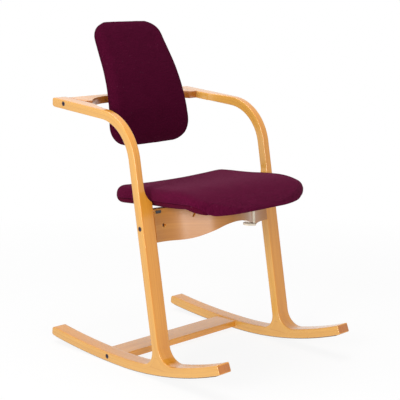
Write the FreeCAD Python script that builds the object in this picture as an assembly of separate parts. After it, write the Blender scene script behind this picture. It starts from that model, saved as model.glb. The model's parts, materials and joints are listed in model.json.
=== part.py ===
import FreeCAD, Part
import math
import os
from FreeCAD import Vector

# A rocking chair on bentwood runners, in millimetres. The sitter faces -Y, so the sitter's right is -X.
# The origin is on the floor, midway between the ends of the runners.

os.makedirs("parts", exist_ok=True)

# Side frames
frame_width = 530.0        # outside to outside of the two side frames
leg_width = 45.0           # across the runner and the lower upright
scoop_depth = 22.5         # taken off the inside of the upper upright and the bend
upright_lean_deg = 9.78
upright_foot_y = -136.5    # where the upright's front face would meet the floor
upright_depth = 26.0       # front face to rear face, also the depth of the arm
front_ply = 13.0           # depth of the front lamination, the rear one has the rest
arm_rise_deg = 4.57
arm_height = 712.5         # top of the arm above the floor at the origin
arm_tip_y = 323.0
bend_radius = 150.0        # outside of the bend from upright to arm
front_foot_radius = 50.0
rear_foot_radius = 42.0
shoulder_rise = 48.0       # where the scoop begins to run out going down, above the seat's underside
shoulder_radius = 48.0
scoop_rear_y = 126.0       # where the scoop has run out along the arm
arm_tip_round = 11.0
edge_round = 3.0

# Runners
runner_half_length = 356.5
runner_depth = 29.0        # wood and sole strip together
sole_ply = 13.5            # depth of the lower lamination
strip_depth = 2.5
strip_width = 38.0
strip_inset = 14.0         # from each end of the runner
rest_y = 49.0              # where the chair stands
front_rocker_radius = 1135.0
rear_rocker_radius = 2400.0
rest_flat_depth = 0.7      # how far the strip is pressed flat where the chair stands
runner_end_round = 8.0

# Stretcher between the runners
stretcher_depth = 77.0
stretcher_height = 19.0
stretcher_y = 96.0
stretcher_drop = 2.0       # below the top of the runner

# Seat bearer between the uprights
bearer_bow = 95.0          # how far its middle comes forward
bearer_bend_share = 0.946  # radius of the bow's bends, as a share of the largest that fits
bearer_drop = 102.0        # lower edge at the uprights, below the seat's underside
bearer_arch = 41.0         # rise of its lower edge in the middle
bearer_arch_land = 60.0    # straight lower edge at each end
bearer_arch_share = 0.903
bearer_bolt_drop = 61.0    # below the seat's underside
bearer_slot_x = 116.4      # a slanted slot on the sitter's right
bearer_slot_drop = 35.0
bearer_slot_length = 12.0
bearer_slot_width = 4.0
bearer_slot_slant_deg = 24.0

# Back rail between the arms
rail_height = 21.0
rail_rear_y = 304.0
rail_depth = 26.0          # in the middle
rail_end_depth = 72.0      # where it meets the arm
rail_cut_radius = 120.0
rail_end_land = 28.0       # straight front of the rail beside the arm
rail_bolt_y = 272.0

# Fasteners of the three cross joints
bolt_radius = 4.0
bolt_head_radius = 6.5
bolt_head_height = 5.0
bolt_socket_radius = 3.4
bolt_socket_depth = 3.0
bolt_bite = 36.0           # length of a bolt in the cross piece
bolt_clearance = 0.2
nut_radius = 5.0
nut_length = 16.0
nut_setback = 29.0         # from the end of the cross piece
dowel_radius = 4.0
dowel_length = 32.0
dowel_arm_bite = 12.0      # length of a dowel in the side frame
dowel_clearance = 0.05
dowel_spacing = 44.0

# Seat
seat_tilt_deg = 3.5        # front edge up
seat_y = -69.0             # middle of the seat
seat_height = 472.0        # underside of the seat at its middle
seat_length = 386.0
seat_overhang = 3.0        # beyond the inner faces of the legs
seat_thickness = 42.0
seat_crown = 4.0           # bulge of the top across the front half
seat_dish = 7.0            # hollow of the top across the rear half
seat_front_run = 63.0      # rounding of the front corners in plan, along the seat
seat_front_draw = 215.0    # and across it
seat_rear_run = 40.0
seat_rear_draw = 57.0
seat_front_nose = 88.0     # length of the rounding of the front edge, seen from the side
seat_rear_nose = 30.0
seat_droop = 43.0          # how far the front edge hangs
seat_droop_length = 140.0
seat_waist_depth = 8.0     # drawn in on each side where the uprights pass
seat_waist_length = 170.0
seat_waist_at = 49.0       # behind the middle of the seat
seat_side_tuck = 15.0      # how far the sides draw in above and below
tuck_share = 0.3           # and the most of it where the padding is thin, as a share of its depth
seat_belly = 8.0           # how far the padding swells below the underside
seat_belly_start = 78.0    # where the swelling begins, from the front edge
seat_belly_run = 55.0
seat_seam = 10.0           # height of the seam above the underside
seat_seam_turn = 65.0      # where the seam turns down, from the front edge
seat_seam_radius = 38.0
seat_board_thickness = 10.0
seat_board_lift = 3.0
seat_board_inset = 20.0
seat_board_front = 58.0    # from the front edge of the seat
seat_board_corner = 40.0

# Seat slide
seat_travel = 25.0         # forward from where it is drawn
seat_gap = 12.5            # from the underside of the seat down to the bearer
bar_width = 14.0
bar_height = 4.6
bar_inset = 15.0           # from the upright's inner face
bar_drop = 17.8            # below the underside of the seat
bar_front_proud = 1.0
bar_spare = 2.5
bar_edge = 0.8
bush_wall = 1.6            # sleeve of the bar in the bearer
bush_proud = 2.0
glide_wall = 3.5
glide_length = 22.0
glide_margin = 4.5         # to the bearer when the seat is forward
glide_flange = 16.0        # reaches inwards for the screws
glide_flange_height = 4.0
slide_clearance = 0.3
front_glide_length = 70.0
front_glide_width = 30.0
front_glide_x = 95.0
screw_radius = 2.0
screw_head_radius = 4.0
screw_head_height = 2.2
screw_length = 22.0

# Release lever on the bearer and the brake strip under the seat
lever_x = 14.0
lever_at = -137.5          # from the middle of the seat
lever_rod = 4.0            # radius of the rod
lever_pivot_drop = 27.0    # below the underside of the seat
lever_reach = 45.0         # from the pivot down to the eye
lever_eye_length = 44.0
lever_eye_width = 19.0
lever_eye_height = 5.0
lever_eye_hole_length = 22.0
lever_eye_hole_width = 9.0
lever_eye_rise_deg = 8.0
lever_eye_dip_deg = 12.0   # front edge down
lever_pin_radius = 2.5
lever_pin_clearance = 0.05
lever_hub_radius = 6.0
lever_hub_length = 8.0
bracket_wall = 2.5
bracket_play = 0.4
bracket_room = 1.5
bracket_height = 8.0
bracket_tail = 12.0        # let into the bearer
shoe_half = 3.0
shoe_top = 9.5             # above the pivot
shoe_height = 5.0
shoe_width = 8.0
shoe_reach = 5.0           # from the pivot to the braking face
shoe_clearance = 0.4
brake_thickness = 4.0
brake_lead = 8.0           # brake strip beyond the shoe at both ends of the travel

# Backrest
lumbar_y = 198.0           # mid depth of the backrest at the lumbar point
lumbar_drop = 87.5         # lumbar point below the arm's height
lumbar_radius = 430.0      # curve of the backrest from the lumbar point up
upper_tilt_deg = 29.0      # lean of the straight upper part
backrest_below = 31.0      # from the lumbar point down to the lower edge
backrest_above = 347.0     # from the lumbar point up to the upper edge, along the curve
backrest_low_half = 156.0
backrest_top_half = 122.0
backrest_low_corner = 67.0
backrest_top_corner = 48.0
backrest_low_nose = 41.0
backrest_top_nose = 59.0
backrest_front = 18.0      # depth of the padding in front of the mid depth, at the sides
backrest_crown = 3.0
backrest_rear = 21.0
backrest_side_tuck = 13.0
backrest_split = 5.0       # seam between cushion and rear cover, behind the mid depth
backrest_board_thickness = 9.0
backrest_board_inset = 34.0

# Backrest slide, square to the backrest's curve at the level of the back rail
post_rise = 12.5           # above the arm's height
post_width = 44.0
post_thickness = 8.0
post_up = 75.0
post_down = 90.0
backrest_travel = 40.0     # up from where it is drawn
guide_wall = 3.0
guide_up = 55.0
guide_down = 90.0
guide_side = 9.0           # from the post's edge to the guide's edge at the screws
guide_lip = 8.0
guide_clearance = 0.3
guide_screw_length = 16.0
guide_screw_share = 0.7    # place of the screws towards the ends of the mount block
block_width = 76.0
block_down = 70.0
block_face = 25.0          # rear face of the mount block, behind the mid depth
window_margin = 3.0
stem_width = 24.0
stem_height = 16.0
foot_plate_width = 84.0
foot_plate_thickness = 4.0
post_bolt_radius = 3.0
post_bolt_head_radius = 5.4
post_bolt_head_height = 3.0
post_bolt_spacing = 60.0
knob_radius = 19.0
knob_length = 20.0
knob_lobes = 6
knob_lobe_radius = 5.0
knob_drop = 80.0           # below the back rail's level
knob_standoff = 8.0        # between the nut plate and the knob
knob_screw_radius = 4.0
nut_plate_thickness = 6.0
nut_plate_height = 20.0

# Directions in the plane of a side frame
lean = math.radians(upright_lean_deg)
rise = math.radians(arm_rise_deg)
up_upright = Vector(0, math.sin(lean), math.cos(lean))
back_upright = Vector(0, math.cos(lean), -math.sin(lean))
along_arm = Vector(0, math.cos(rise), math.sin(rise))
below_arm = Vector(0, math.sin(rise), -math.cos(rise))
upright_foot = Vector(0, upright_foot_y, 0)
arm_origin = Vector(0, 0, arm_height)

# Sizes that follow from the ones above
half_width = frame_width / 2
leg_inner = half_width - leg_width
shoulder_height = seat_height + shoulder_rise
bearer_low = seat_height - bearer_drop
bearer_bolt_height = seat_height - bearer_bolt_drop
bearer_bend_radius = bearer_bend_share * (leg_inner ** 2 + bearer_bow ** 2) / (4 * bearer_bow)
bearer_arch_half = leg_inner - bearer_arch_land
bearer_arch_radius = bearer_arch_share * (bearer_arch_half ** 2 + bearer_arch ** 2) / (4 * bearer_arch)
seat_half_width = leg_inner + seat_overhang
lumbar_height = arm_height - lumbar_drop
post_level = arm_height + post_rise
far = 1000.0               # longer than any cut needs
near = 0.01                # points closer than this are one


def unit(v):
    return v / v.Length


def lines_meet(p, u, q, v):
    across = u.y * v.z - u.z * v.y
    gap = q - p
    return p + u * ((gap.y * v.z - gap.z * v.y) / across)


def lowest_at_distance(p, u, centre, distance):
    gap = p - centre
    half = gap.dot(u)
    rest = gap.dot(gap) - distance * distance
    return p + u * (-half - math.sqrt(half * half - rest))


def loop(start, *moves):
    # Each move is the next corner, or a pair: a point the arc passes through and its end.
    edges = []
    here = start
    for move in moves:
        if isinstance(move, tuple):
            edges.append(Part.Arc(here, move[0], move[1]).toShape())
            here = move[1]
        else:
            edges.append(Part.makeLine(here, move))
            here = move
    return Part.Wire(edges)


def across_x(wire, x_from, x_to):
    face = Part.Face(wire)
    face.translate(Vector(x_from, 0, 0))
    return face.extrude(Vector(x_to - x_from, 0, 0))


def box(x0, x1, y0, y1, z0, z1):
    return Part.makeBox(x1 - x0, y1 - y0, z1 - z0, Vector(x0, y0, z0))


def rod(start, direction, radius, length):
    return Part.makeCylinder(radius, length, start, direction)


def round_corners(solid, corners, radius):
    # Rounds the edges that run across the chair through the given corners.
    chosen = []
    for edge in solid.Edges:
        a, b = edge.Vertexes[0].Point, edge.Vertexes[-1].Point
        if abs(a.y - b.y) + abs(a.z - b.z) > near:
            continue
        if any(abs(a.y - c.y) + abs(a.z - c.z) < near for c in corners):
            chosen.append(edge)
    return solid.makeFillet(radius, chosen)


# Runner circles and foot bends
front_hub = Vector(0, rest_y, front_rocker_radius - rest_flat_depth)
rear_hub = Vector(0, rest_y, rear_rocker_radius - rest_flat_depth)
front_top = front_rocker_radius - runner_depth
rear_top = rear_rocker_radius - runner_depth
front_angle = -math.asin((runner_half_length + rest_y) / front_rocker_radius)
rear_angle = math.asin((runner_half_length - rest_y) / rear_rocker_radius)
bend_hub = lines_meet(upright_foot + back_upright * bend_radius, up_upright,
                      arm_origin + below_arm * bend_radius, along_arm)
front_foot_hub = lowest_at_distance(upright_foot - back_upright * front_foot_radius, up_upright,
                                    front_hub, front_top - front_foot_radius)
rear_foot_hub = lowest_at_distance(upright_foot + back_upright * (upright_depth + rear_foot_radius),
                                   up_upright, front_hub, front_top - rear_foot_radius)
front_down = unit(front_foot_hub - front_hub)
rear_down = unit(rear_foot_hub - front_hub)


def swing(hub, radius, angle):
    return hub + Vector(0, math.sin(angle), -math.cos(angle)) * radius


def angle_of(direction):
    return math.atan2(direction.y, -direction.z)


def arm_point(y, depth):
    # A point of the arm's plane: where it leaves the top, and how far square below the top it is.
    return Vector(0, y, arm_height + y * math.tan(rise)) + below_arm * depth


def arm_and_bend(depth):
    # Tip of the arm, then the bend's start, middle and end, at a depth below the outer face.
    reach = bend_radius - depth
    middle = unit(below_arm + back_upright)
    return [arm_point(arm_tip_y, depth)] + [bend_hub - way * reach for way in (below_arm, middle, back_upright)]


def front_line(depth):
    foot = front_foot_radius + depth
    run = front_top + depth
    return arm_and_bend(depth) + [
        front_foot_hub + back_upright * foot,
        front_foot_hub + unit(back_upright + front_down) * foot,
        front_foot_hub + front_down * foot,
        swing(front_hub, run, (angle_of(front_down) + front_angle) / 2),
        swing(front_hub, run, front_angle)]


def rear_line(depth):
    below = upright_depth - depth
    foot = rear_foot_radius + below
    return arm_and_bend(depth) + [
        rear_foot_hub - back_upright * foot,
        rear_foot_hub + unit(rear_down - back_upright) * foot,
        rear_foot_hub + rear_down * foot,
        swing(front_hub, front_top + below, angle_of(rear_down) / 2),
        swing(front_hub, front_top + below, 0),
        swing(rear_hub, rear_top + below, rear_angle / 2),
        swing(rear_hub, rear_top + below, rear_angle)]


def runner_band(upper, lower, inset, x_from, x_to):
    # A layer of the runner between two depths below its top, ending short of the runner's ends.
    front = front_angle + inset / front_rocker_radius
    rear = rear_angle - inset / rear_rocker_radius
    ends = []
    for depth in (upper, lower):
        ends.append([swing(front_hub, front_top + depth, front),
                     swing(front_hub, front_top + depth, front / 2),
                     swing(front_hub, front_top + depth, 0),
                     swing(rear_hub, rear_top + depth, rear / 2),
                     swing(rear_hub, rear_top + depth, rear)])
    top, low = ends
    wire = loop(top[0], (top[1], top[2]), (top[3], top[4]), low[4], (low[3], low[2]), (low[1], low[0]), top[0])
    return across_x(wire, x_from, x_to)


def scoop(side):
    # The hollow on the inside of the upper upright. It runs out in a curve below and along the arm.
    deep = half_width - leg_width + scoop_depth
    turn = math.acos(1 - scoop_depth / shoulder_radius)

    def run_out(a):
        return side * (deep - shoulder_radius * (1 - math.cos(a))), shoulder_radius * math.sin(a)
    ends = []
    for a in (0, turn / 2, turn):
        x, run = run_out(a)
        rear = scoop_rear_y - shoulder_radius * math.sin(turn) + run
        ends.append((Vector(x, -far, shoulder_height - run), Vector(x, rear, -far)))
    (low0, rear0), (low1, rear1), (low2, rear2) = ends
    wire = loop(low0, Vector(low0.x, -far, far), Vector(0, -far, far), Vector(0, -far, low2.z), low2, (low1, low0))
    from_front = Part.Face(wire).extrude(Vector(0, 2 * far, 0))
    wire = loop(rear0, Vector(rear0.x, -far, -far), Vector(0, -far, -far), Vector(0, rear2.y, -far), rear2,
                (rear1, rear0))
    from_top = Part.Face(wire).extrude(Vector(0, 0, 2 * far))
    return from_front.common(from_top)


def front_lamination(side):
    outer, inner = front_line(0), front_line(front_ply)
    wire = loop(outer[0], outer[1], (outer[2], outer[3]), outer[4], (outer[5], outer[6]), (outer[7], outer[8]),
                inner[8], (inner[7], inner[6]), (inner[5], inner[4]), inner[3], (inner[2], inner[1]),
                inner[0], outer[0])
    solid = across_x(wire, side * leg_inner, side * half_width)
    solid = solid.cut(scoop(side))
    return round_corners(solid, [outer[0], outer[8]], edge_round)


def rear_lamination(side):
    outer, inner = rear_line(front_ply), rear_line(upright_depth)
    wire = loop(outer[0], outer[1], (outer[2], outer[3]), outer[4], (outer[5], outer[6]), (outer[7], outer[8]),
                (outer[9], outer[10]), inner[10], (inner[9], inner[8]), (inner[7], inner[6]),
                (inner[5], inner[4]), inner[3], (inner[2], inner[1]), inner[0], outer[0])
    solid = across_x(wire, side * leg_inner, side * half_width)
    solid = solid.cut(scoop(side))
    solid = round_corners(solid, [inner[0]], arm_tip_round)
    return round_corners(solid, [inner[10]], runner_end_round)


def foot_wedge(side):
    front, rear = front_line(front_ply), rear_line(front_ply)
    middle = swing(front_hub, front_top + front_ply, (angle_of(front_down) + angle_of(rear_down)) / 2)
    wire = loop(front[4], rear[4], (rear[5], rear[6]), (middle, front[6]), (front[5], front[4]))
    return across_x(wire, side * leg_inner, side * half_width)


def sole_lamination(side):
    lower = runner_depth - strip_depth
    solid = runner_band(front_ply, lower, 0, side * leg_inner, side * half_width)
    rear_corner = swing(rear_hub, rear_top + lower, rear_angle)
    front_corner = swing(front_hub, front_top + lower, front_angle)
    solid = round_corners(solid, [rear_corner], runner_end_round)
    return round_corners(solid, [front_corner], edge_round)


def sole_strip(side):
    middle = side * (half_width - leg_width / 2)
    band = runner_band(runner_depth - strip_depth, runner_depth, strip_inset,
                       middle - strip_width / 2, middle + strip_width / 2)
    return band.cut(box(-far, far, -far, far, -far, 0))


# Cross pieces
def stretcher():
    top = front_hub.z - math.sqrt(front_top ** 2 - max(0, rest_y - stretcher_y) ** 2) - stretcher_drop
    solid = box(-leg_inner, leg_inner, stretcher_y - stretcher_depth / 2, stretcher_y + stretcher_depth / 2,
                top - stretcher_height, top)
    corners = [Vector(0, stretcher_y + k * stretcher_depth / 2, top - h)
               for k in (-1, 1) for h in (0, stretcher_height)]
    return round_corners(solid, corners, edge_round)


def wave(half_span, height, radius, offset=0):
    # One half of a wave that climbs by height from its outer end to its middle: the start, middle and
    # end of the outer arc, then the start and the top of the middle arc. A positive offset is below it.
    span = math.hypot(half_span, height - 2 * radius)
    slope = math.atan2(height - 2 * radius, half_span) + math.asin(2 * radius / span)
    outer = radius + offset
    inner = radius - offset
    points = [(half_span - outer * math.sin(a), radius - outer * math.cos(a)) for a in (0, slope / 2, slope)]
    points += [(inner * math.sin(a), height - radius + inner * math.cos(a)) for a in (slope, 0)]
    return points


def on_bearer(x, forward, level):
    mid = upright_foot + back_upright * (upright_depth / 2 - forward) + up_upright * level
    return Vector(x, mid.y, mid.z)


def on_seat(shape):
    # Moves a shape drawn on a level seat, with its middle underside at the origin, to the tilted seat.
    placed = shape.copy()
    placed.rotate(Vector(0, 0, 0), Vector(1, 0, 0), -seat_tilt_deg)
    placed.translate(Vector(0, seat_y, seat_height))
    return placed


def bearer_panel():
    high = seat_height / math.cos(lean) + bearer_bow
    sides = []
    for offset in (-upright_depth / 2, upright_depth / 2):
        plan = wave(leg_inner, bearer_bow, bearer_bend_radius, offset)
        sides.append([[on_bearer(side * x, forward, 0) for x, forward in plan] for side in (-1, 1)])
    (fl, fr), (bl, br) = sides
    wire = loop(fl[0], (fl[1], fl[2]), fl[3], (fl[4], fr[3]), fr[2], (fr[1], fr[0]), br[0],
                (br[1], br[2]), br[3], (br[4], bl[3]), bl[2], (bl[1], bl[0]), fl[0])
    panel = Part.Face(wire).extrude(up_upright * high)
    arch = wave(bearer_arch_half, bearer_arch, bearer_arch_radius)
    al, ar = [[Vector(side * x, -far, bearer_low + above) for x, above in arch] for side in (-1, 1)]
    low_left, low_right = [Vector(side * leg_inner, -far, bearer_low) for side in (-1, 1)]
    top_left, top_right = [Vector(side * leg_inner, -far, far) for side in (-1, 1)]
    wire = loop(low_left, al[0], (al[1], al[2]), al[3], (al[4], ar[3]), ar[2], (ar[1], ar[0]), low_right,
                top_right, top_left, low_left)
    outline = Part.Face(wire).extrude(Vector(0, 2 * far, 0))
    above_bearer = on_seat(box(-far, far, -far, far, -seat_gap, far))
    return panel.common(outline).cut(above_bearer)


def bearer_slot():
    half = (bearer_slot_length - bearer_slot_width) / 2
    slot = box(-bearer_slot_width / 2, bearer_slot_width / 2, -far, far, -half, half)
    for k in (-half, half):
        slot = slot.fuse(rod(Vector(0, -far, k), Vector(0, 1, 0), bearer_slot_width / 2, 2 * far))
    slot.rotate(Vector(0, 0, 0), Vector(0, 1, 0), bearer_slot_slant_deg)
    slot.translate(Vector(-bearer_slot_x, 0, seat_height - bearer_slot_drop))
    return slot


def back_rail():
    front_middle = rail_rear_y - rail_depth
    front_end = rail_rear_y - rail_end_depth
    rise_of_cut = front_middle - front_end
    reach = math.sqrt(rail_cut_radius ** 2 - (rail_cut_radius - rise_of_cut) ** 2)
    cut_end = leg_inner - rail_end_land
    cut_start = cut_end - reach

    def spot(x, along):
        p = arm_point(along, 0)
        return Vector(x, p.y, p.z)

    def cut_spot(x):
        level = front_middle - rail_cut_radius + math.sqrt(rail_cut_radius ** 2 - (abs(x) - cut_start) ** 2)
        return spot(x, level)
    half = (cut_start + cut_end) / 2
    wire = loop(spot(-leg_inner, rail_rear_y), spot(-leg_inner, front_end), spot(-cut_end, front_end),
                (cut_spot(-half), spot(-cut_start, front_middle)), spot(cut_start, front_middle),
                (cut_spot(half), spot(cut_end, front_end)), spot(leg_inner, front_end),
                spot(leg_inner, rail_rear_y), spot(-leg_inner, rail_rear_y))
    return Part.Face(wire).extrude(below_arm * rail_height)


# Fasteners of the cross joints
class CrossJoint:
    # A bolt with its barrel nut and two dowels, square to the side frame at one end of a cross piece.
    def __init__(self, side, spot, nut_axis, dowel_axis, mouth):
        self.side = side
        self.spot = spot
        self.nut_axis = nut_axis
        self.dowel_axis = dowel_axis
        self.mouth = mouth
        self.inwards = Vector(-side, 0, 0)
        self.head = Vector(side * half_width, spot.y, spot.z)
        self.nut = Vector(side * (leg_inner - nut_setback), spot.y, spot.z)

    def bolt(self):
        length = leg_width + bolt_bite
        head = rod(self.head, self.inwards, bolt_head_radius, bolt_head_height)
        socket = rod(self.head, self.inwards, bolt_socket_radius, bolt_socket_depth)
        return head.fuse(rod(self.head, self.inwards, bolt_radius, length)).cut(socket).removeSplitter()

    def bolt_hole(self):
        length = leg_width + bolt_bite + bolt_clearance
        seat = rod(self.head, self.inwards, bolt_head_radius + bolt_clearance, bolt_head_height)
        return seat.fuse(rod(self.head, self.inwards, bolt_radius + bolt_clearance, length))

    def barrel_nut(self):
        start = self.nut - self.nut_axis * (nut_length / 2)
        bore = rod(self.nut - self.inwards * nut_radius * 2, self.inwards, bolt_radius, nut_radius * 4)
        return rod(start, self.nut_axis, nut_radius, nut_length).cut(bore)

    def nut_hole(self):
        start = self.nut - self.nut_axis * self.mouth
        return rod(start, self.nut_axis, nut_radius + bolt_clearance, self.mouth + nut_length / 2)

    def dowels(self, clearance=0):
        pegs = []
        for k in (-1, 1):
            middle = self.spot + self.dowel_axis * (k * dowel_spacing / 2)
            start = Vector(self.side * (leg_inner + dowel_arm_bite + clearance), middle.y, middle.z)
            pegs.append(rod(start, self.inwards, dowel_radius + clearance, dowel_length + 2 * clearance))
        return pegs

    def holes(self):
        return [self.bolt_hole(), self.nut_hole()] + self.dowels(dowel_clearance)


def stretcher_spot():
    bounds = stretcher().BoundBox
    return Vector(0, stretcher_y, (bounds.ZMin + bounds.ZMax) / 2)


def cross_joints():
    bearer_spot = lines_meet(upright_foot + back_upright * (upright_depth / 2), up_upright,
                             Vector(0, 0, bearer_bolt_height), Vector(0, 1, 0))
    rail_spot = arm_point(rail_bolt_y, rail_height / 2)
    joints = {"rail": [], "bearer": [], "stretcher": []}
    for side in (-1, 1):
        joints["rail"].append(CrossJoint(side, rail_spot, below_arm * -1, along_arm, rail_height))
        joints["bearer"].append(CrossJoint(side, bearer_spot, back_upright, up_upright, upright_depth))
        joints["stretcher"].append(CrossJoint(side, stretcher_spot(), Vector(0, 0, 1), Vector(0, 1, 0),
                                              stretcher_height))
    return joints


# Seat, drawn level with the middle of its underside at the origin
def draw_in(inside, run, draw):
    # How far an elliptical corner stands in from the straight edge.
    return draw * (1 - math.sqrt(1 - (1 - min(1, inside / run)) ** 2))


def seat_half(back):
    inside = seat_length / 2 - abs(back)
    if back < 0:
        half = seat_half_width - draw_in(inside, seat_front_run, seat_front_draw)
    else:
        half = seat_half_width - draw_in(inside, seat_rear_run, seat_rear_draw)
    from_waist = abs(back - seat_waist_at)
    if from_waist < seat_waist_length / 2:
        half -= seat_waist_depth * math.cos(math.pi * from_waist / seat_waist_length) ** 2
    return half


def seat_drop(back):
    return seat_droop * max(0, 1 - (seat_length / 2 + back) / seat_droop_length) ** 2


def seat_swelling(back):
    share = min(1, max(0, (seat_length / 2 + back - seat_belly_start) / seat_belly_run))
    return seat_belly * share * share * (3 - 2 * share)


def seat_bulge(back):
    # The top goes over from bulging at the front to hollow at the rear.
    share = min(1, max(0, 0.5 + 2 * back / seat_length))
    return seat_crown - (seat_crown + seat_dish) * share


def seat_section(back):
    inside = seat_length / 2 - abs(back)
    nose = seat_front_nose if back < 0 else seat_rear_nose
    swell = 1 - draw_in(inside, nose, 1)
    centre = seat_thickness / 2 - seat_drop(back)
    top = centre + seat_thickness / 2 * swell
    low = centre - (seat_thickness / 2 + seat_swelling(back)) * swell
    middle = (top + low) / 2
    half = seat_half(back)
    tuck = min(seat_side_tuck, (top - low) * tuck_share)
    right_low, right_top = Vector(half - tuck, back, low), Vector(half - tuck, back, top)
    left_low, left_top = Vector(tuck - half, back, low), Vector(tuck - half, back, top)
    return loop(left_low, right_low, (Vector(half, back, middle), right_top),
                (Vector(0, back, top + seat_bulge(back) * swell), left_top), (Vector(-half, back, middle), left_low))


def seat_form():
    end = seat_length / 2
    stations = [k * seat_front_nose - end for k in (0.035, 0.11, 0.25, 0.45, 1)] + [seat_front_run - end]
    stations += [end - k * seat_rear_nose for k in (0.1, 0.3, 0.6, 1)] + [end - seat_rear_run]
    stations += [seat_waist_at + k * seat_waist_length / 4 for k in (-2, -1, 0, 1)]
    stations += [seat_belly_start + k * seat_belly_run - end for k in (0.5, 1)]
    return Part.makeLoft([seat_section(back) for back in sorted(stations)], True)


def above_seam():
    # Above the seam, and all that is in front of where the seam has turned down.
    hub = Vector(0, seat_seam_turn - seat_length / 2, seat_seam - seat_seam_radius)
    front, middle, rear = [hub + Vector(0, -math.sin(a), math.cos(a)) * seat_seam_radius
                           for a in (math.pi / 2, math.pi / 4, 0)]
    foot = Vector(0, front.y, -far)
    wire = loop(foot, front, (middle, rear), Vector(0, far, seat_seam), Vector(0, far, far), Vector(0, -far, far),
                Vector(0, -far, -far), foot)
    return across_x(wire, -far, far)


def seat_board():
    half = seat_half_width - seat_board_inset
    front, rear = seat_board_front - seat_length / 2, seat_length / 2 - seat_board_inset
    board = box(-half, half, front, rear, seat_board_lift, seat_board_lift + seat_board_thickness)
    uprights = [e for e in board.Edges if abs(e.Vertexes[0].Z - e.Vertexes[-1].Z) > near]
    board = board.makeFillet(seat_board_corner, uprights)
    waist = (seat_waist_length ** 2 / 4 + seat_waist_depth ** 2) / (2 * seat_waist_depth)
    for side in (-1, 1):
        centre = Vector(side * (half - seat_waist_depth + waist), seat_waist_at, 0)
        board = board.cut(rod(centre, Vector(0, 0, 1), waist, far))
    return board


bar_x = leg_inner - bar_inset
bar_low = -bar_drop - bar_height
bearer_front = upright_foot_y + math.tan(lean) * (seat_height + bar_low + bar_height / 2) - seat_y
bar_front = bearer_front - bar_front_proud
glide_front = bearer_front + upright_depth + seat_travel + glide_margin
glide_rear = glide_front + glide_length


def bearer_at(x, forward):
    # Where the bearer is along the seat, near its middle, at a depth forward of its mid depth.
    bow = math.sqrt((bearer_bend_radius + forward) ** 2 - x ** 2) - bearer_bend_radius
    return bearer_front + upright_depth / 2 - bearer_bow - bow


def carrier_bar(side):
    half = bar_width / 2
    bar = box(side * bar_x - half, side * bar_x + half, bar_front, glide_rear + bar_spare, bar_low, -bar_drop)
    ends = [e for e in bar.Edges if abs(e.Vertexes[0].Y - e.Vertexes[-1].Y) > near]
    return bar.makeFillet(bar_edge, ends)


def bush_body(side):
    half = bar_width / 2 + bush_wall
    rear = bearer_front + upright_depth + bush_proud
    return box(side * bar_x - half, side * bar_x + half, bearer_front - bush_proud, rear,
               bar_low - bush_wall, bush_wall - bar_drop)


def glide_screw_spots():
    spots = []
    inner = bar_x - bar_width / 2 - slide_clearance - glide_wall - glide_flange / 2
    for side in (-1, 1):
        for k in (-1, 1):
            spots.append((side * inner, glide_front + glide_length / 2 + k * glide_length / 4,
                          glide_flange_height + seat_belly))
            spots.append((side * front_glide_x, front_glide_at() + k * front_glide_length / 3,
                          seat_gap - slide_clearance))
    return spots


def front_glide_at():
    return bearer_at(front_glide_x, 0) + seat_travel / 2


def screw(spot):
    # Countersunk wood screw under the seat, pointing up.
    x, back, depth = spot
    head = Part.makeCone(screw_head_radius, screw_radius, screw_head_height, Vector(x, back, -depth))
    return head.fuse(rod(Vector(x, back, -depth), Vector(0, 0, 1), screw_radius, screw_length)).removeSplitter()


def cut_all(solid, tools):
    for tool in tools:
        solid = solid.cut(tool)
    return solid


def glide(side):
    inner = bar_width / 2 + slide_clearance
    outer = inner + glide_wall
    x = side * bar_x
    block = box(x - outer, x + outer, glide_front, glide_rear, bar_low, -seat_belly)
    channel = box(x - inner, x + inner, glide_front, glide_rear, bar_low, -bar_drop + slide_clearance)
    flange_x = sorted([x, x - side * (outer + glide_flange)])
    flange = box(flange_x[0], flange_x[1], glide_front, glide_rear, -seat_belly - glide_flange_height, -seat_belly)
    return block.fuse(flange).cut(channel).removeSplitter()


def front_glide(side):
    half = front_glide_width / 2
    x = side * front_glide_x
    middle = front_glide_at()
    return box(x - half, x + half, middle - front_glide_length / 2, middle + front_glide_length / 2,
               slide_clearance - seat_gap, -seat_belly)


# Release lever, drawn with the seat
pivot = Vector(lever_x, lever_at, -lever_pivot_drop)
bracket_half = lever_hub_length / 2 + bracket_play
bracket_front = lever_at - bracket_half - bracket_wall
shoe_high = pivot.z + shoe_top
brake_face = lever_x + shoe_reach + shoe_clearance


def lever_bracket():
    # A bar let into the bearer, with a window for the lever's hub.
    wide = lever_hub_radius + bracket_room + bracket_wall
    room = wide - bracket_wall
    low, high = pivot.z - bracket_height / 2, pivot.z + bracket_height / 2
    tail = bearer_at(lever_x, upright_depth / 2) + bracket_tail
    body = box(lever_x - wide, lever_x + wide, bracket_front, tail, low, high)
    window = box(lever_x - room, lever_x + room, lever_at - bracket_half, lever_at + bracket_half, low, high)
    return body.cut(window).cut(lever_pin(lever_pin_clearance))


def lever_pin(clearance=0):
    length = 2 * (bracket_half + bracket_wall)
    return rod(Vector(pivot.x, bracket_front, pivot.z), Vector(0, 1, 0), lever_pin_radius + clearance, length)


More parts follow.
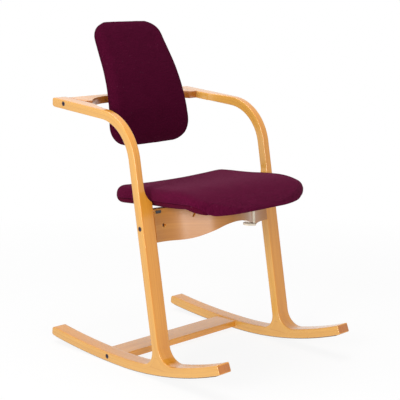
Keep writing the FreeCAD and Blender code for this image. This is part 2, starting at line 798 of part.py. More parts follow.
def lever_eye():
    half, slot = lever_eye_width / 2, lever_eye_hole_width / 2
    near = lever_rod - half
    tip = near - lever_eye_length + lever_eye_width
    slot_near = tip + lever_eye_hole_length - lever_eye_hole_width
    up = Vector(0, 0, 1)
    eye = box(tip, near, -half, half, 0, lever_eye_height)
    hole = box(tip, slot_near, -slot, slot, 0, lever_eye_height)
    for x in (tip, near):
        eye = eye.fuse(rod(Vector(x, 0, 0), up, half, lever_eye_height))
    for x in (tip, slot_near):
        hole = hole.fuse(rod(Vector(x, 0, 0), up, slot, lever_eye_height))
    eye = eye.cut(hole)
    eye.rotate(Vector(0, 0, 0), Vector(1, 0, 0), lever_eye_dip_deg)
    eye.rotate(Vector(0, 0, 0), Vector(0, 1, 0), lever_eye_rise_deg)
    eye.translate(pivot - Vector(0, 0, lever_reach + lever_eye_height / 2))
    return eye


def release_lever():
    hub = rod(pivot - Vector(0, lever_hub_length / 2, 0), Vector(0, 1, 0), lever_hub_radius, lever_hub_length)
    stalk = rod(pivot, Vector(0, 0, -1), lever_rod, lever_reach)
    neck = lever_hub_length / 2
    arm = box(lever_x - shoe_half, lever_x + shoe_half, lever_at - neck, lever_at + neck, pivot.z, shoe_high)
    shoe = box(lever_x - shoe_half, lever_x + shoe_reach, lever_at - shoe_width / 2, lever_at + shoe_width / 2,
               shoe_high - shoe_height, shoe_high)
    return hub.fuse([stalk, lever_eye(), arm, shoe]).cut(lever_pin(lever_pin_clearance)).removeSplitter()


def brake_strip():
    # A plate that hangs from the seat board beside the lever's shoe.
    lead = shoe_width / 2 + brake_lead
    return box(brake_face, brake_face + brake_thickness, lever_at - lead, lever_at + seat_travel + lead,
               shoe_high - shoe_height - shoe_clearance, seat_board_lift)


# Backrest, drawn along its own curve
bend_run = lumbar_radius * math.radians(upper_tilt_deg)


def on_spine(x, run, behind):
    # run is measured along the curve from the lumbar point, behind is square to it.
    tilt = min(run, bend_run) / lumbar_radius
    straight = max(0, run - bend_run)
    y = lumbar_y + lumbar_radius * (1 - math.cos(tilt)) + straight * math.sin(tilt)
    z = lumbar_height + lumbar_radius * math.sin(tilt) + straight * math.cos(tilt)
    return Vector(x, y + behind * math.cos(tilt), z - behind * math.sin(tilt))


def backrest_half(run):
    share = (run + backrest_below) / (backrest_above + backrest_below)
    return backrest_low_half + (backrest_top_half - backrest_low_half) * share


def backrest_section(run):
    low, high = run + backrest_below, backrest_above - run
    half = backrest_half(run)
    if low < high:
        swell = 1 - draw_in(low, backrest_low_nose, 1)
        half -= draw_in(low, backrest_low_corner, backrest_low_corner)
    else:
        swell = 1 - draw_in(high, backrest_top_nose, 1)
        half -= draw_in(high, backrest_top_corner, backrest_top_corner)
    front, rear = -backrest_front * swell, backrest_rear * swell
    tuck = min(backrest_side_tuck, (rear - front) * tuck_share)
    edge = half - tuck
    return loop(on_spine(-edge, run, rear), on_spine(edge, run, rear),
                (on_spine(half, run, 0), on_spine(edge, run, front)),
                (on_spine(0, run, front - backrest_crown * swell), on_spine(-edge, run, front)),
                (on_spine(-half, run, 0), on_spine(-edge, run, rear)))


def backrest_form():
    low, high = backrest_low_corner - backrest_below, backrest_above - backrest_top_nose
    stations = [k * backrest_low_nose - backrest_below for k in (0.07, 0.22, 0.46, 1)]
    stations += [backrest_above - k * backrest_top_nose for k in (0.05, 0.15, 0.32, 0.56, 1)]
    stations += [low, backrest_above - backrest_top_corner]
    stations += [low + (high - low) * k / 5 for k in range(1, 5)]
    return Part.makeLoft([backrest_section(run) for run in sorted(stations)], True)


def spine_band(front, rear, half):
    # The layer of the backrest between two depths behind its mid surface.
    low, high = -2 * backrest_below, backrest_above + backrest_below
    wire = loop(on_spine(0, low, front), (on_spine(0, bend_run / 2, front), on_spine(0, bend_run, front)),
                on_spine(0, high, front), on_spine(0, high, rear), on_spine(0, bend_run, rear),
                (on_spine(0, bend_run / 2, rear), on_spine(0, low, rear)), on_spine(0, low, front))
    return across_x(wire, -half, half)


def backrest_board():
    rear = backrest_split + backrest_board_thickness
    low = on_spine(0, backrest_board_inset - backrest_below, rear).z
    high = on_spine(0, backrest_above - backrest_board_inset, rear).z
    low_half = backrest_low_half - backrest_board_inset
    top_half = backrest_top_half - backrest_board_inset
    cut = backrest_board_inset
    outline = loop(Vector(cut - low_half, -far, low), Vector(low_half - cut, -far, low),
                   Vector(low_half, -far, low + cut), Vector(top_half, -far, high - cut),
                   Vector(top_half - cut, -far, high), Vector(cut - top_half, -far, high),
                   Vector(-top_half, -far, high - cut), Vector(-low_half, -far, low + cut),
                   Vector(cut - low_half, -far, low))
    board = Part.Face(outline).extrude(Vector(0, 2 * far, 0))
    return board.common(spine_band(backrest_split, rear, backrest_low_half))


# Backrest slide, drawn upright with the backrest's mid surface at the origin, then leaned
post_tilt = math.asin((post_level - lumbar_height) / lumbar_radius)


def on_post(shape):
    placed = shape.copy()
    placed.rotate(Vector(0, 0, 0), Vector(1, 0, 0), -math.degrees(post_tilt))
    origin = on_spine(0, lumbar_radius * post_tilt, 0)
    placed.translate(Vector(0, origin.y, origin.z))
    return placed


guide_face = block_face + guide_wall
post_front = guide_face + guide_clearance
post_rear = post_front + post_thickness
lip_front = post_rear + guide_clearance
lip_rear = lip_front + guide_wall
channel_half = post_width / 2 + guide_clearance
guide_half = channel_half + guide_wall


def mount_block():
    half = block_width / 2
    block = on_post(box(-half, half, 0, block_face, -block_down, guide_up))
    return block.cut(spine_band(-lumbar_radius / 4, backrest_split + backrest_board_thickness, half))


def backrest_window():
    half = block_width / 2 + window_margin
    low = -post_down - backrest_travel - window_margin
    return on_post(box(-half, half, 0, far, low, post_up + window_margin))


def guide_screw_spots():
    x = guide_half + guide_side / 2
    return [(side * x, k * guide_screw_share) for side in (-1, 1) for k in (-block_down, guide_up)]


def backrest_guide():
    wide = guide_half + guide_side
    plate = box(-wide, wide, block_face, guide_face, -guide_down, guide_up)
    channel = box(-guide_half, guide_half, guide_face, lip_rear, -guide_down, guide_up)
    room = box(-channel_half, channel_half, guide_face, lip_front, -guide_down, guide_up)
    mouth_half = channel_half - guide_lip
    mouth = box(-mouth_half, mouth_half, guide_face, lip_rear, -guide_down, guide_up)
    nut_low = -knob_drop - nut_plate_height / 2
    plate_rear = lip_rear + nut_plate_thickness
    nut_plate = box(-guide_half, guide_half, lip_rear, plate_rear, nut_low, nut_low + nut_plate_height)
    thread = rod(Vector(0, lip_front, -knob_drop), Vector(0, 1, 0), knob_screw_radius + dowel_clearance, far)
    return plate.fuse(channel.cut(room).cut(mouth)).fuse(nut_plate).cut(thread).removeSplitter()


def guide_screw(spot):
    x, level = spot
    start = Vector(x, guide_face, level)
    head = Part.makeCone(screw_head_radius, screw_radius, screw_head_height, start, Vector(0, -1, 0))
    return head.fuse(rod(start, Vector(0, -1, 0), screw_radius, guide_screw_length)).removeSplitter()


def clamp_knob():
    start = lip_front
    face = lip_rear + nut_plate_thickness + knob_standoff
    stud = rod(Vector(0, start, -knob_drop), Vector(0, 1, 0), knob_screw_radius, face - start + knob_length / 2)
    body = rod(Vector(0, face, -knob_drop), Vector(0, 1, 0), knob_radius, knob_length)
    rims = [e for e in body.Edges if abs(e.Length - 2 * math.pi * knob_radius) < near]
    body = body.makeFillet(edge_round, rims)
    for k in range(knob_lobes):
        a = 2 * math.pi * k / knob_lobes
        reach = knob_radius + knob_lobe_radius / 2
        spot = Vector(reach * math.cos(a), face, reach * math.sin(a) - knob_drop)
        body = body.cut(rod(spot, Vector(0, 1, 0), knob_lobe_radius, knob_length))
    return body.fuse(stud).removeSplitter()


def along_arm_box(half, front, rear, top, low):
    corners = [arm_point(front, top), arm_point(rear, top), arm_point(rear, low), arm_point(front, low)]
    return across_x(loop(*corners, corners[0]), -half, half)


def post_bolt_axis(x):
    p = arm_point(rail_rear_y, rail_height / 2)
    return Vector(x, p.y, p.z)


def post_bolt(x, clearance=0):
    start = post_bolt_axis(x)
    length = rail_depth + foot_plate_thickness
    shank = rod(start, along_arm * -1, post_bolt_radius + clearance, length)
    if clearance:
        return shank
    return shank.fuse(rod(start, along_arm, post_bolt_head_radius, post_bolt_head_height)).removeSplitter()


def back_post():
    post = on_post(box(-post_width / 2, post_width / 2, post_front, post_rear, -post_down, post_up))
    rail_front = rail_rear_y - rail_depth
    top = (rail_height - stem_height) / 2
    plate = along_arm_box(foot_plate_width / 2, rail_front - foot_plate_thickness, rail_front,
                          top, top + stem_height)
    stem = along_arm_box(stem_width / 2, lumbar_y, rail_front, top, top + stem_height)
    stem = stem.cut(on_post(box(-far, far, -far, post_front, -far, far)))
    solid = post.fuse([stem, plate])
    for k in (-1, 1):
        solid = solid.cut(post_bolt(k * post_bolt_spacing / 2, bolt_clearance))
    return solid.removeSplitter()


# Assembly
def build():
    joints = cross_joints()
    nodes = {}
    for side, name in ((-1, "right"), (1, "left")):
        holes = []
        for group in joints.values():
            holes += [j.bolt_hole() for j in group if j.side == side]
            holes += [peg for j in group if j.side == side for peg in j.dowels(dowel_clearance)]
        nodes[name + "_front_lamination"] = cut_all(front_lamination(side), holes)
        nodes[name + "_rear_lamination"] = cut_all(rear_lamination(side), holes)
        nodes[name + "_foot_wedge"] = foot_wedge(side)
        nodes[name + "_sole_lamination"] = cut_all(sole_lamination(side), holes)
        nodes[name + "_sole_strip"] = sole_strip(side)

    bars = {"right": on_seat(carrier_bar(-1)), "left": on_seat(carrier_bar(1))}
    sleeves = {"right": on_seat(bush_body(-1)), "left": on_seat(bush_body(1))}
    end_holes = {key: [hole for j in group for hole in j.holes()] for key, group in joints.items()}
    nodes["runner_stretcher"] = cut_all(stretcher(), end_holes["stretcher"])
    bracket = on_seat(lever_bracket())
    bearer_holes = end_holes["bearer"] + [bracket, bearer_slot()] + list(sleeves.values())
    nodes["seat_bearer"] = cut_all(bearer_panel(), bearer_holes)
    post_holes = [post_bolt(k * post_bolt_spacing / 2, bolt_clearance) for k in (-1, 1)]
    nodes["back_rail"] = cut_all(back_rail(), end_holes["rail"] + post_holes)
    everywhere = [j for group in joints.values() for j in group]
    nodes["frame_bolts"] = Part.makeCompound([j.bolt() for j in everywhere])
    nodes["barrel_nuts"] = Part.makeCompound([j.barrel_nut() for j in everywhere])
    nodes["dowels"] = Part.makeCompound([peg for j in everywhere for peg in j.dowels()])

    form = seat_form()
    board = seat_board()
    screws = [screw(spot) for spot in glide_screw_spots()]
    upper = above_seam()
    strip = brake_strip()
    nodes["seat_cushion"] = on_seat(cut_all(form.common(upper), [board, strip]))
    glides = {"right": [glide(-1), front_glide(-1)], "left": [glide(1), front_glide(1)]}
    under = [board, strip] + screws + glides["right"] + glides["left"]
    nodes["seat_base_cover"] = on_seat(cut_all(form.cut(upper), under))
    nodes["seat_board"] = on_seat(cut_all(board, screws))
    for name, (rear, front) in glides.items():
        nodes[name + "_carrier_bar"] = bars[name]
        nodes[name + "_bar_bush"] = sleeves[name].cut(bars[name])
        nodes[name + "_glide"] = on_seat(cut_all(rear, screws))
        nodes[name + "_front_glide"] = on_seat(cut_all(front, screws))
    nodes["glide_screws"] = on_seat(Part.makeCompound(screws))
    nodes["brake_strip"] = on_seat(strip)
    nodes["lever_bracket"] = bracket
    nodes["lever_pin"] = on_seat(lever_pin())
    nodes["release_lever"] = on_seat(release_lever())

    form = backrest_form()
    board = backrest_board()
    behind = spine_band(backrest_split, lumbar_radius / 4, backrest_low_half * 2)
    guide_screws = [on_post(guide_screw(spot)) for spot in guide_screw_spots()]
    nodes["backrest_cushion"] = form.cut(behind)
    nodes["backrest_rear_cover"] = form.common(behind).cut(board).cut(backrest_window())
    nodes["backrest_board"] = cut_all(board, guide_screws)
    nodes["mount_block"] = cut_all(mount_block(), guide_screws)
    nodes["backrest_guide"] = cut_all(on_post(backrest_guide()), guide_screws)
    nodes["guide_screws"] = Part.makeCompound(guide_screws)
    nodes["back_post"] = back_post()
    nodes["post_bolts"] = Part.makeCompound([post_bolt(k * post_bolt_spacing / 2) for k in (-1, 1)])
    nodes["clamp_knob"] = on_post(clamp_knob())
    return nodes


for node, shape in build().items():
    shape.exportStep("parts/" + node + ".step")
    print(node, "solids", len(shape.Solids), "volume cm3", round(shape.Volume / 1000, 1), "valid", shape.isValid())
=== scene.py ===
import bmesh
import bpy
import json
import math
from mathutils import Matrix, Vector, noise


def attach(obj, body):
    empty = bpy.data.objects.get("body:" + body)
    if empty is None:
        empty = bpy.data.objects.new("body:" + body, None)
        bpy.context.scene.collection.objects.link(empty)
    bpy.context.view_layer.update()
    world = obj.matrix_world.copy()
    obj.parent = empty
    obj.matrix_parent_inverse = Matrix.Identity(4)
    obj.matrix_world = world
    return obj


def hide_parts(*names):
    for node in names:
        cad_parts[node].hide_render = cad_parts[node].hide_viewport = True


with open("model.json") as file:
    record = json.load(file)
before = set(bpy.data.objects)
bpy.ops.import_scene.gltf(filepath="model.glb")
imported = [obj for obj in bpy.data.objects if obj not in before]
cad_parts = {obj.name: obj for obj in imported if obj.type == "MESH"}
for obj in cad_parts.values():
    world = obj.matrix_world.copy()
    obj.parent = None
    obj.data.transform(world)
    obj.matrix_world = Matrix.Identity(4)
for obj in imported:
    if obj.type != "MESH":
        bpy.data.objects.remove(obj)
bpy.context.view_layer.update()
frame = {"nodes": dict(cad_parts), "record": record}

nodes = frame["nodes"]
scene = bpy.context.scene
mm = 0.001
print("stage: frame loaded,", len(nodes), "nodes")


# Materials: small helpers for shader trees
def newMaterial(name):
    mat = bpy.data.materials.new(name)
    mat.use_nodes = True
    tree = mat.node_tree
    return mat, tree, tree.nodes["Principled BSDF"]


def add(tree, kind, **settings):
    node = tree.nodes.new(kind)
    for key, value in settings.items():
        if key in node.inputs:
            node.inputs[key].default_value = value
        else:
            setattr(node, key, value)
    return node


def link(tree, source, target):
    tree.links.new(source, target)


def join(tree, *pairs):
    # Each entry names an output of one node and an input of another.
    for giver, output, taker, socket in pairs:
        link(tree, giver.outputs[output], taker.inputs[socket])


def mapped(tree, coords, scale):
    node = add(tree, "ShaderNodeMapping", Scale=scale)
    link(tree, coords, node.inputs["Vector"])
    return node.outputs["Vector"]


def noiseOf(tree, coords, scale, detail, rough=0.6, twist=0.0):
    node = add(tree, "ShaderNodeTexNoise", Scale=scale, Detail=detail, Roughness=rough, Distortion=twist)
    link(tree, coords, node.inputs["Vector"])
    return node.outputs["Fac"]


def grained(tree, uv, stretch, detail, rough=0.6, twist=0.0):
    return noiseOf(tree, mapped(tree, uv, (*stretch, 1)), 1.0, detail, rough, twist)


def ramp(tree, value, stops, *colours):
    node = add(tree, "ShaderNodeValToRGB")
    bar = node.color_ramp.elements
    while len(bar) < len(stops):
        bar.new(0.5)
    for mark, at, colour in zip(bar, stops, colours):
        mark.position = at
        mark.color = (*colour, 1)
    link(tree, value, node.inputs["Fac"])
    return node.outputs["Color"]


def spread(tree, value, low, high, newLow, newHigh):
    node = add(tree, "ShaderNodeMapRange")
    for key, number in zip(("From Min", "From Max", "To Min", "To Max"), (low, high, newLow, newHigh)):
        node.inputs[key].default_value = number
    link(tree, value, node.inputs["Value"])
    return node.outputs["Result"]


def sums(tree, kind, a, b):
    node = add(tree, "ShaderNodeMath", operation=kind)
    for socket, value in zip(node.inputs, (a, b)):
        if isinstance(value, (int, float)):
            socket.default_value = value
        else:
            link(tree, value, socket)
    return node.outputs["Value"]


def weighted(tree, *parts):
    total = None
    for value, weight in parts:
        scaled = sums(tree, "MULTIPLY", value, weight)
        total = scaled if total is None else sums(tree, "ADD", total, scaled)
    return total


def mixed(tree, kind, share, a, b):
    node = add(tree, "ShaderNodeMix", data_type="RGBA", blend_type=kind)
    for socket, value in zip((node.inputs[0], node.inputs[6], node.inputs[7]), (share, a, b)):
        if isinstance(value, (int, float)):
            socket.default_value = value
        elif isinstance(value, tuple):
            socket.default_value = (*value, 1)
        else:
            link(tree, value, socket)
    return node.outputs[2]


def bumped(tree, shader, height, strength, distance):
    node = add(tree, "ShaderNodeBump", Strength=strength, Distance=distance)
    link(tree, height, node.inputs["Height"])
    link(tree, node.outputs["Normal"], shader.inputs["Normal"])


def uvOf(tree, layer):
    return add(tree, "ShaderNodeUVMap", uv_map=layer).outputs["UV"]


# A noise has its stretch, detail, roughness and twist. A range has the old and then the new limits.
woodSet = {
    "face": {"uv": "face", "dark": (0.56, 0.202, 0.017), "light": (0.73, 0.322, 0.036), "fleck": 0.30},
    # The bearer's panel wood is the face wood drawn darker: painted shade from the seat above it.
    "shadedPanel": {"uv": "face", "dark": (0.33, 0.113, 0.011), "light": (0.44, 0.182, 0.024), "fleck": 0.30},
    "edge": {"uv": "layer", "dark": (0.57, 0.275, 0.050), "light": (0.70, 0.385, 0.084), "fleck": 0.18},
    # Dark end-grain wood; on the rail's forward faces its darkness also stands for painted shade of the
    # backrest.
    "end": {"uv": "end", "dark": (0.39, 0.110, 0.009), "light": (0.54, 0.178, 0.019), "fleck": 0.45},
    "long": ((5, 260), 6, 0.62, 0.4), "broad": ((2.2, 38), 3, 0.5, 0.8), "flecks": ((75, 900), 2),
    "wear": ((9, 30), 4), "shares": (0.55, 0.45), "stops": (0.30, 0.52, 0.70), "fleckRange": (0.60, 0.74),
    "fleckTint": (0.62, 0.48, 0.36), "plyPitch": 1.444, "plyShare": 0.22, "plyTint": (0.84, 0.68, 0.48),
    "seamRange": (0.43, 0.49), "seamShare": 0.35, "seamTint": (0.66, 0.46, 0.28), "glueDepth": 13.0,
    "glueWidth": (0.25, 0.7), "glueShare": 0.45, "glueTint": (0.40, 0.19, 0.05), "specular": 0.1,
    "coat": 1.0, "gloss": 0.18, "satin": 0.33, "coatIndex": 1.6, "roughRange": (0.3, 0.75, 0.32, 0.50),
    "bump": (0.12, 0.0004), "endScale": 0.4}


def woodMaterial(name, style, plies, coatRough):
    # The first UV number runs along the grain, the second across it, both in metres.
    w, s = woodSet, woodSet[style]
    mat, tree, shader = newMaterial(name)
    uv = uvOf(tree, s["uv"])
    long, broad, flecks = [grained(tree, uv, *w[key]) for key in ("long", "broad", "flecks")]
    grain = weighted(tree, *zip((long, broad), w["shares"]))
    middle = tuple((a + b) / 2 for a, b in zip(s["dark"], s["light"]))
    colour = ramp(tree, grain, w["stops"], s["dark"], middle, s["light"])
    share = spread(tree, flecks, *w["fleckRange"], 0.0, s["fleck"])
    colour = mixed(tree, "MULTIPLY", share, colour, w["fleckTint"])
    if plies:
        split = add(tree, "ShaderNodeSeparateXYZ")
        link(tree, uv, split.inputs["Vector"])
        depth = sums(tree, "MULTIPLY", split.outputs["Y"], 1 / mm)
        layer = sums(tree, "MULTIPLY", split.outputs["Y"], 1 / mm / w["plyPitch"])
        tint = add(tree, "ShaderNodeTexWhiteNoise", noise_dimensions="1D")
        link(tree, sums(tree, "FLOOR", layer, 0), tint.inputs["W"])
        share = spread(tree, tint.outputs["Value"], 0, 1, 0.0, w["plyShare"])
        colour = mixed(tree, "MULTIPLY", share, colour, w["plyTint"])
        seam = sums(tree, "ABSOLUTE", sums(tree, "SUBTRACT", sums(tree, "FRACT", layer, 0), 0.5), 0)
        share = spread(tree, seam, *w["seamRange"], 0.0, w["seamShare"])
        colour = mixed(tree, "MULTIPLY", share, colour, w["seamTint"])
        glue = sums(tree, "ABSOLUTE", sums(tree, "SUBTRACT", depth, w["glueDepth"]), 0)
        share = spread(tree, glue, *w["glueWidth"], w["glueShare"], 0.0)
        colour = mixed(tree, "MIX", share, colour, w["glueTint"])
    wear = grained(tree, uv, *w["wear"])
    link(tree, colour, shader.inputs["Base Color"])
    link(tree, spread(tree, wear, *w["roughRange"]), shader.inputs["Roughness"])
    for key, value in (("Specular IOR Level", w["specular"]), ("Coat Weight", w["coat"]),
                       ("Coat Roughness", coatRough), ("Coat IOR", w["coatIndex"])):
        shader.inputs[key].default_value = value
    bumped(tree, shader, grain, *w["bump"])
    return mat


fabricSet = {
    "seat": {"dark": (0.044, 0.0015, 0.0125), "light": (0.108, 0.0058, 0.033), "sheen": 0.09},
    "base": {"dark": (0.046, 0.0018, 0.011), "light": (0.100, 0.0060, 0.025), "sheen": 0.04},
    # The back is the seat's wool drawn darker: painted shade.
    "back": {"dark": (0.030, 0.0012, 0.009), "light": (0.072, 0.0045, 0.022), "sheen": 0.03},
    "pitch": 0.0016, "fuzz": ((900, 900), 3, 0.7), "cloud": ((28, 28), 4, 0.6), "thread": ((30, 620), 2),
    "speck": ((290, 290), 2, 0.5), "lint": ((260, 260), 2, 0.5), "shares": (0.30, 0.35, 0.35),
    "speckRange": (0.3, 0.7, -0.14, 0.14), "stops": (0.30, 0.70), "cloudRange": (0.35, 0.7, 0.0, 0.30),
    "cloudTint": (0.72, 0.66, 0.70), "lintRange": (0.70, 0.78, 0.0, 0.45), "lintTint": (0.22, 0.10, 0.15),
    "roughRange": (0.3, 0.7, 0.82, 0.98), "sheenRough": 0.45, "sheenTint": (1.0, 0.36, 0.58),
    "weaveShare": 0.5, "bump": (0.45, 0.0006)}


def fabricMaterial(name, style):
    # Plain wool weave: two crossing sets of threads, felted over by finer noise.
    f, s = fabricSet, fabricSet[style]
    mat, tree, shader = newMaterial(name)
    uv = uvOf(tree, "weave")
    split = add(tree, "ShaderNodeSeparateXYZ")
    link(tree, uv, split.inputs["Vector"])
    turn = 2 * math.pi / f["pitch"]
    warp, weft = [sums(tree, "SINE", sums(tree, "MULTIPLY", split.outputs[axis], turn), 0) for axis in "XY"]
    weave = spread(tree, sums(tree, "MULTIPLY", warp, weft), -1, 1, 0, 1)
    fuzz, cloud, thread, speck, lint = [
        grained(tree, uv, *f[key]) for key in ("fuzz", "cloud", "thread", "speck", "lint")]
    tone = weighted(tree, *zip((weave, fuzz, thread), f["shares"]))
    tone = sums(tree, "ADD", tone, spread(tree, speck, *f["speckRange"]))
    colour = ramp(tree, tone, f["stops"], s["dark"], s["light"])
    colour = mixed(tree, "MULTIPLY", spread(tree, cloud, *f["cloudRange"]), colour, f["cloudTint"])
    colour = mixed(tree, "MIX", spread(tree, lint, *f["lintRange"]), colour, f["lintTint"])
    link(tree, colour, shader.inputs["Base Color"])
    link(tree, spread(tree, fuzz, *f["roughRange"]), shader.inputs["Roughness"])
    for key, value in (("Specular IOR Level", 0.0), ("Sheen Weight", s["sheen"]),
                       ("Sheen Roughness", f["sheenRough"]), ("Sheen Tint", (*f["sheenTint"], 1))):
        shader.inputs[key].default_value = value
    height = sums(tree, "ADD", sums(tree, "MULTIPLY", weave, f["weaveShare"]), fuzz)
    bumped(tree, shader, height, *f["bump"])
    return mat


# Darker and lighter colour, range of roughness, then metal, scale of the mottling, bump and stretch
plainSet = {
    "felt": ((0.060, 0.034, 0.013), (0.17, 0.105, 0.045), (0.9, 1.0), 0.0, 260, 0.8),
    "boltBlack": ((0.040, 0.032, 0.050), (0.075, 0.062, 0.088), (0.32, 0.5), 0.55, 300),
    "zincSteel": ((0.36, 0.36, 0.38), (0.55, 0.55, 0.57), (0.25, 0.42), 0.9, 90, 0.2, (1, 0.08, 1)),
    "powderCoat": ((0.018, 0.018, 0.020), (0.036, 0.036, 0.038), (0.5, 0.65), 0.0, 420, 0.5),
    "leverPlastic": ((0.56, 0.48, 0.36), (0.70, 0.62, 0.50), (0.38, 0.5), 0.0, 60, 0.1),
    "nylon": ((0.022, 0.022, 0.024), (0.045, 0.045, 0.047), (0.45, 0.6), 0.0, 200, 0.2),
    "hiddenPly": ((0.40, 0.27, 0.14), (0.60, 0.44, 0.26), (0.6, 0.8), 0.0, 70, 0.3, (0.12, 1, 1))}


skinSet = {
    "body": (5, 0.6), "skin": (3, 0.6), "finer": 9, "scuff": (6, 0.7, 1.2), "coarser": 0.35,
    "stops": (0.3, 0.7), "scuffRange": (0.60, 0.70, 0.0, 0.25), "wornGain": 1.5, "wornLift": 0.01,
    "bumpDistance": 0.0003}


def plainMaterial(name, dark, light, rough, metal, scale, bump=0.15, stretch=(1, 1, 1)):
    # Metal, plastic or felt: mottled colour, uneven gloss and a fine skin.
    s = skinSet
    mat, tree, shader = newMaterial(name)
    spot = mapped(tree, add(tree, "ShaderNodeTexCoord").outputs["Object"], stretch)
    body = noiseOf(tree, spot, scale, *s["body"])
    skin = noiseOf(tree, spot, scale * s["finer"], *s["skin"])
    colour = ramp(tree, body, s["stops"], dark, light)
    scuffs = spread(tree, noiseOf(tree, spot, scale * s["coarser"], *s["scuff"]), *s["scuffRange"])
    worn = tuple(min(1, c * s["wornGain"] + s["wornLift"]) for c in light)
    link(tree, mixed(tree, "MIX", scuffs, colour, worn), shader.inputs["Base Color"])
    link(tree, spread(tree, body, *s["stops"], *rough), shader.inputs["Roughness"])
    shader.inputs["Metallic"].default_value = metal
    bumped(tree, shader, skin, bump, s["bumpDistance"])
    return mat


woodFace = woodMaterial("woodFace", "face", False, woodSet["gloss"])
woodEdge = woodMaterial("woodEdge", "edge", True, woodSet["gloss"])
woodEnd = woodMaterial("woodEnd", "end", False, woodSet["gloss"])
woodPanel = woodMaterial("woodPanel", "shadedPanel", False, woodSet["satin"])
seatFabric = fabricMaterial("seatFabric", "seat")
baseFabric = fabricMaterial("baseFabric", "base")
backFabric = fabricMaterial("backFabric", "back")
feltMaterial, boltMaterial, steelMaterial, darkSteel, leverMaterial, nylonMaterial, plyMaterial = [
    plainMaterial(name, *values) for name, values in plainSet.items()]
print("stage: materials made")


# Mesh helpers. Points are in millimetres, meshes in metres.
meshSet = {"merge": 1e-6, "thin": 1e-7, "sharp": 35}


def newObject(name, data):
    obj = bpy.data.objects.new(name, data)
    scene.collection.objects.link(obj)
    return obj


def paintUv(mesh, layer, values):
    data = mesh.uv_layers.new(name=layer).data
    for loop in mesh.loops:
        data[loop.index].uv = [c * mm for c in values[loop.vertex_index]]


def makeObject(name, points, faces, materials, faceMats=None, uvs=None,
               sharp=meshSet["sharp"]):
    mesh = bpy.data.meshes.new(name)
    mesh.from_pydata([Vector(p) * mm for p in points], [], faces)
    for mat in materials:
        mesh.materials.append(mat)
    if faceMats:
        mesh.polygons.foreach_set("material_index", faceMats)
    for layer, values in (uvs or {}).items():
        paintUv(mesh, layer, values)
    tidyMesh(mesh, sharp)
    return newObject(name, mesh)


def tidyMesh(mesh, sharp):
    bm = bmesh.new()
    bm.from_mesh(mesh)
    bmesh.ops.remove_doubles(bm, verts=bm.verts, dist=meshSet["merge"])
    bmesh.ops.dissolve_degenerate(bm, edges=bm.edges, dist=meshSet["thin"])
    bmesh.ops.recalc_face_normals(bm, faces=bm.faces)
    bm.to_mesh(mesh)
    bm.free()
    mesh.polygons.foreach_set("use_smooth", [True] * len(mesh.polygons))
    mesh.set_sharp_from_angle(angle=math.radians(sharp))
    mesh.update()


def settle(obj):
    # Turns an object's modifiers into plain mesh.
    depsgraph = bpy.context.evaluated_depsgraph_get()
    mesh = bpy.data.meshes.new_from_object(obj.evaluated_get(depsgraph))
    mesh.name = obj.name
    obj.modifiers.clear()
    obj.data = mesh
    return obj


def cutWith(obj, cutters, sharp=meshSet["sharp"]):
    for cutter in cutters:
        tool = obj.modifiers.new("cut", "BOOLEAN")
        tool.operation = "DIFFERENCE"
        tool.solver = "EXACT"
        tool.object = cutter
    settle(obj)
    for cutter in cutters:
        bpy.data.objects.remove(cutter)
    tidyMesh(obj.data, sharp)
    return obj


def place(obj, body, slot, *cadNodes):
    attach(obj, body)
    if cadNodes:
        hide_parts(*cadNodes)
    return obj


def tube(rows, count):
    faces = []
    for r in range(rows - 1):
        for k in range(count):
            a, b = r * count + k, r * count + (k + 1) % count
            faces.append((a, b, b + count, a + count))
    return faces + [tuple(range(count)), tuple(range((rows - 1) * count, rows * count))]


# Side frames: bent laminations, swept along the lines of the CAD
sideSet = {
    "lean": 9.78, "footY": -136.5, "depth": 26.0, "ply": 13.0, "rise": 4.57, "armHeight": 712.5,
    "armTip": 323.0, "bend": 150.0, "frontFoot": 50.0, "rearFoot": 42.0, "half": 265.0, "legInner": 220.0,
    "deep": 242.5, "shoulder": 520.0, "shoulderRound": 48.0, "scoopRear": 185.0, "rearRound": 212.0,
    "wideDepth": 21.0, "runnerHalf": 356.5, "runnerDepth": 29.0, "strip": 2.5, "restY": 49.0,
    "frontRocker": 1135.0, "rearRocker": 2400.0, "flat": 0.7, "edge": 2.6, "tipTop": 5.0, "tipLow": 9.5,
    "frontEnd": 3.0, "rearEnd": 8.0, "sideRound": 2.0, "grainShift": 777, "railBolt": (272, 10.5),
    "bearerBolt": 411, "runnerBolt": (96, 16.8), "boreRadius": 6.75, "boreDepth": 5.2, "boreStart": 3,
    "boreSides": 40}
# Distances between the rows of the sweep, and where they change
rowSet = {
    "arm": 13, "scoop": 4, "bend": 3.5, "upright": 12, "shoulder": 3, "leg": 14, "foot": 4, "runner": 14,
    "scoopEnd": 188, "shoulderMarks": (526, 470), "tipTurns": (0, 15, 32, 50, 68, 90),
    "tipShare": 0.97, "edgeTurns": (0, 22.5, 45, 67.5, 90), "flatSteps": 4, "lip": 0.01}
lean, rise = math.radians(sideSet["lean"]), math.radians(sideSet["rise"])
upright, back = Vector((math.sin(lean), math.cos(lean))), Vector((math.cos(lean), -math.sin(lean)))
along, below = Vector((math.cos(rise), math.sin(rise))), Vector((math.sin(rise), -math.cos(rise)))
foot = Vector((sideSet["footY"], 0))
frontHub = Vector((sideSet["restY"], sideSet["frontRocker"] - sideSet["flat"]))
rearHub = Vector((sideSet["restY"], sideSet["rearRocker"] - sideSet["flat"]))
frontTop = sideSet["frontRocker"] - sideSet["runnerDepth"]
rearTop = sideSet["rearRocker"] - sideSet["runnerDepth"]
frontAngle = -math.asin((sideSet["runnerHalf"] + sideSet["restY"]) / sideSet["frontRocker"])
rearAngle = math.asin((sideSet["runnerHalf"] - sideSet["restY"]) / sideSet["rearRocker"])


def across(u, v):
    return u.x * v.y - u.y * v.x


def linesMeet(p, u, q, v):
    return p + u * (across(q - p, v) / across(u, v))


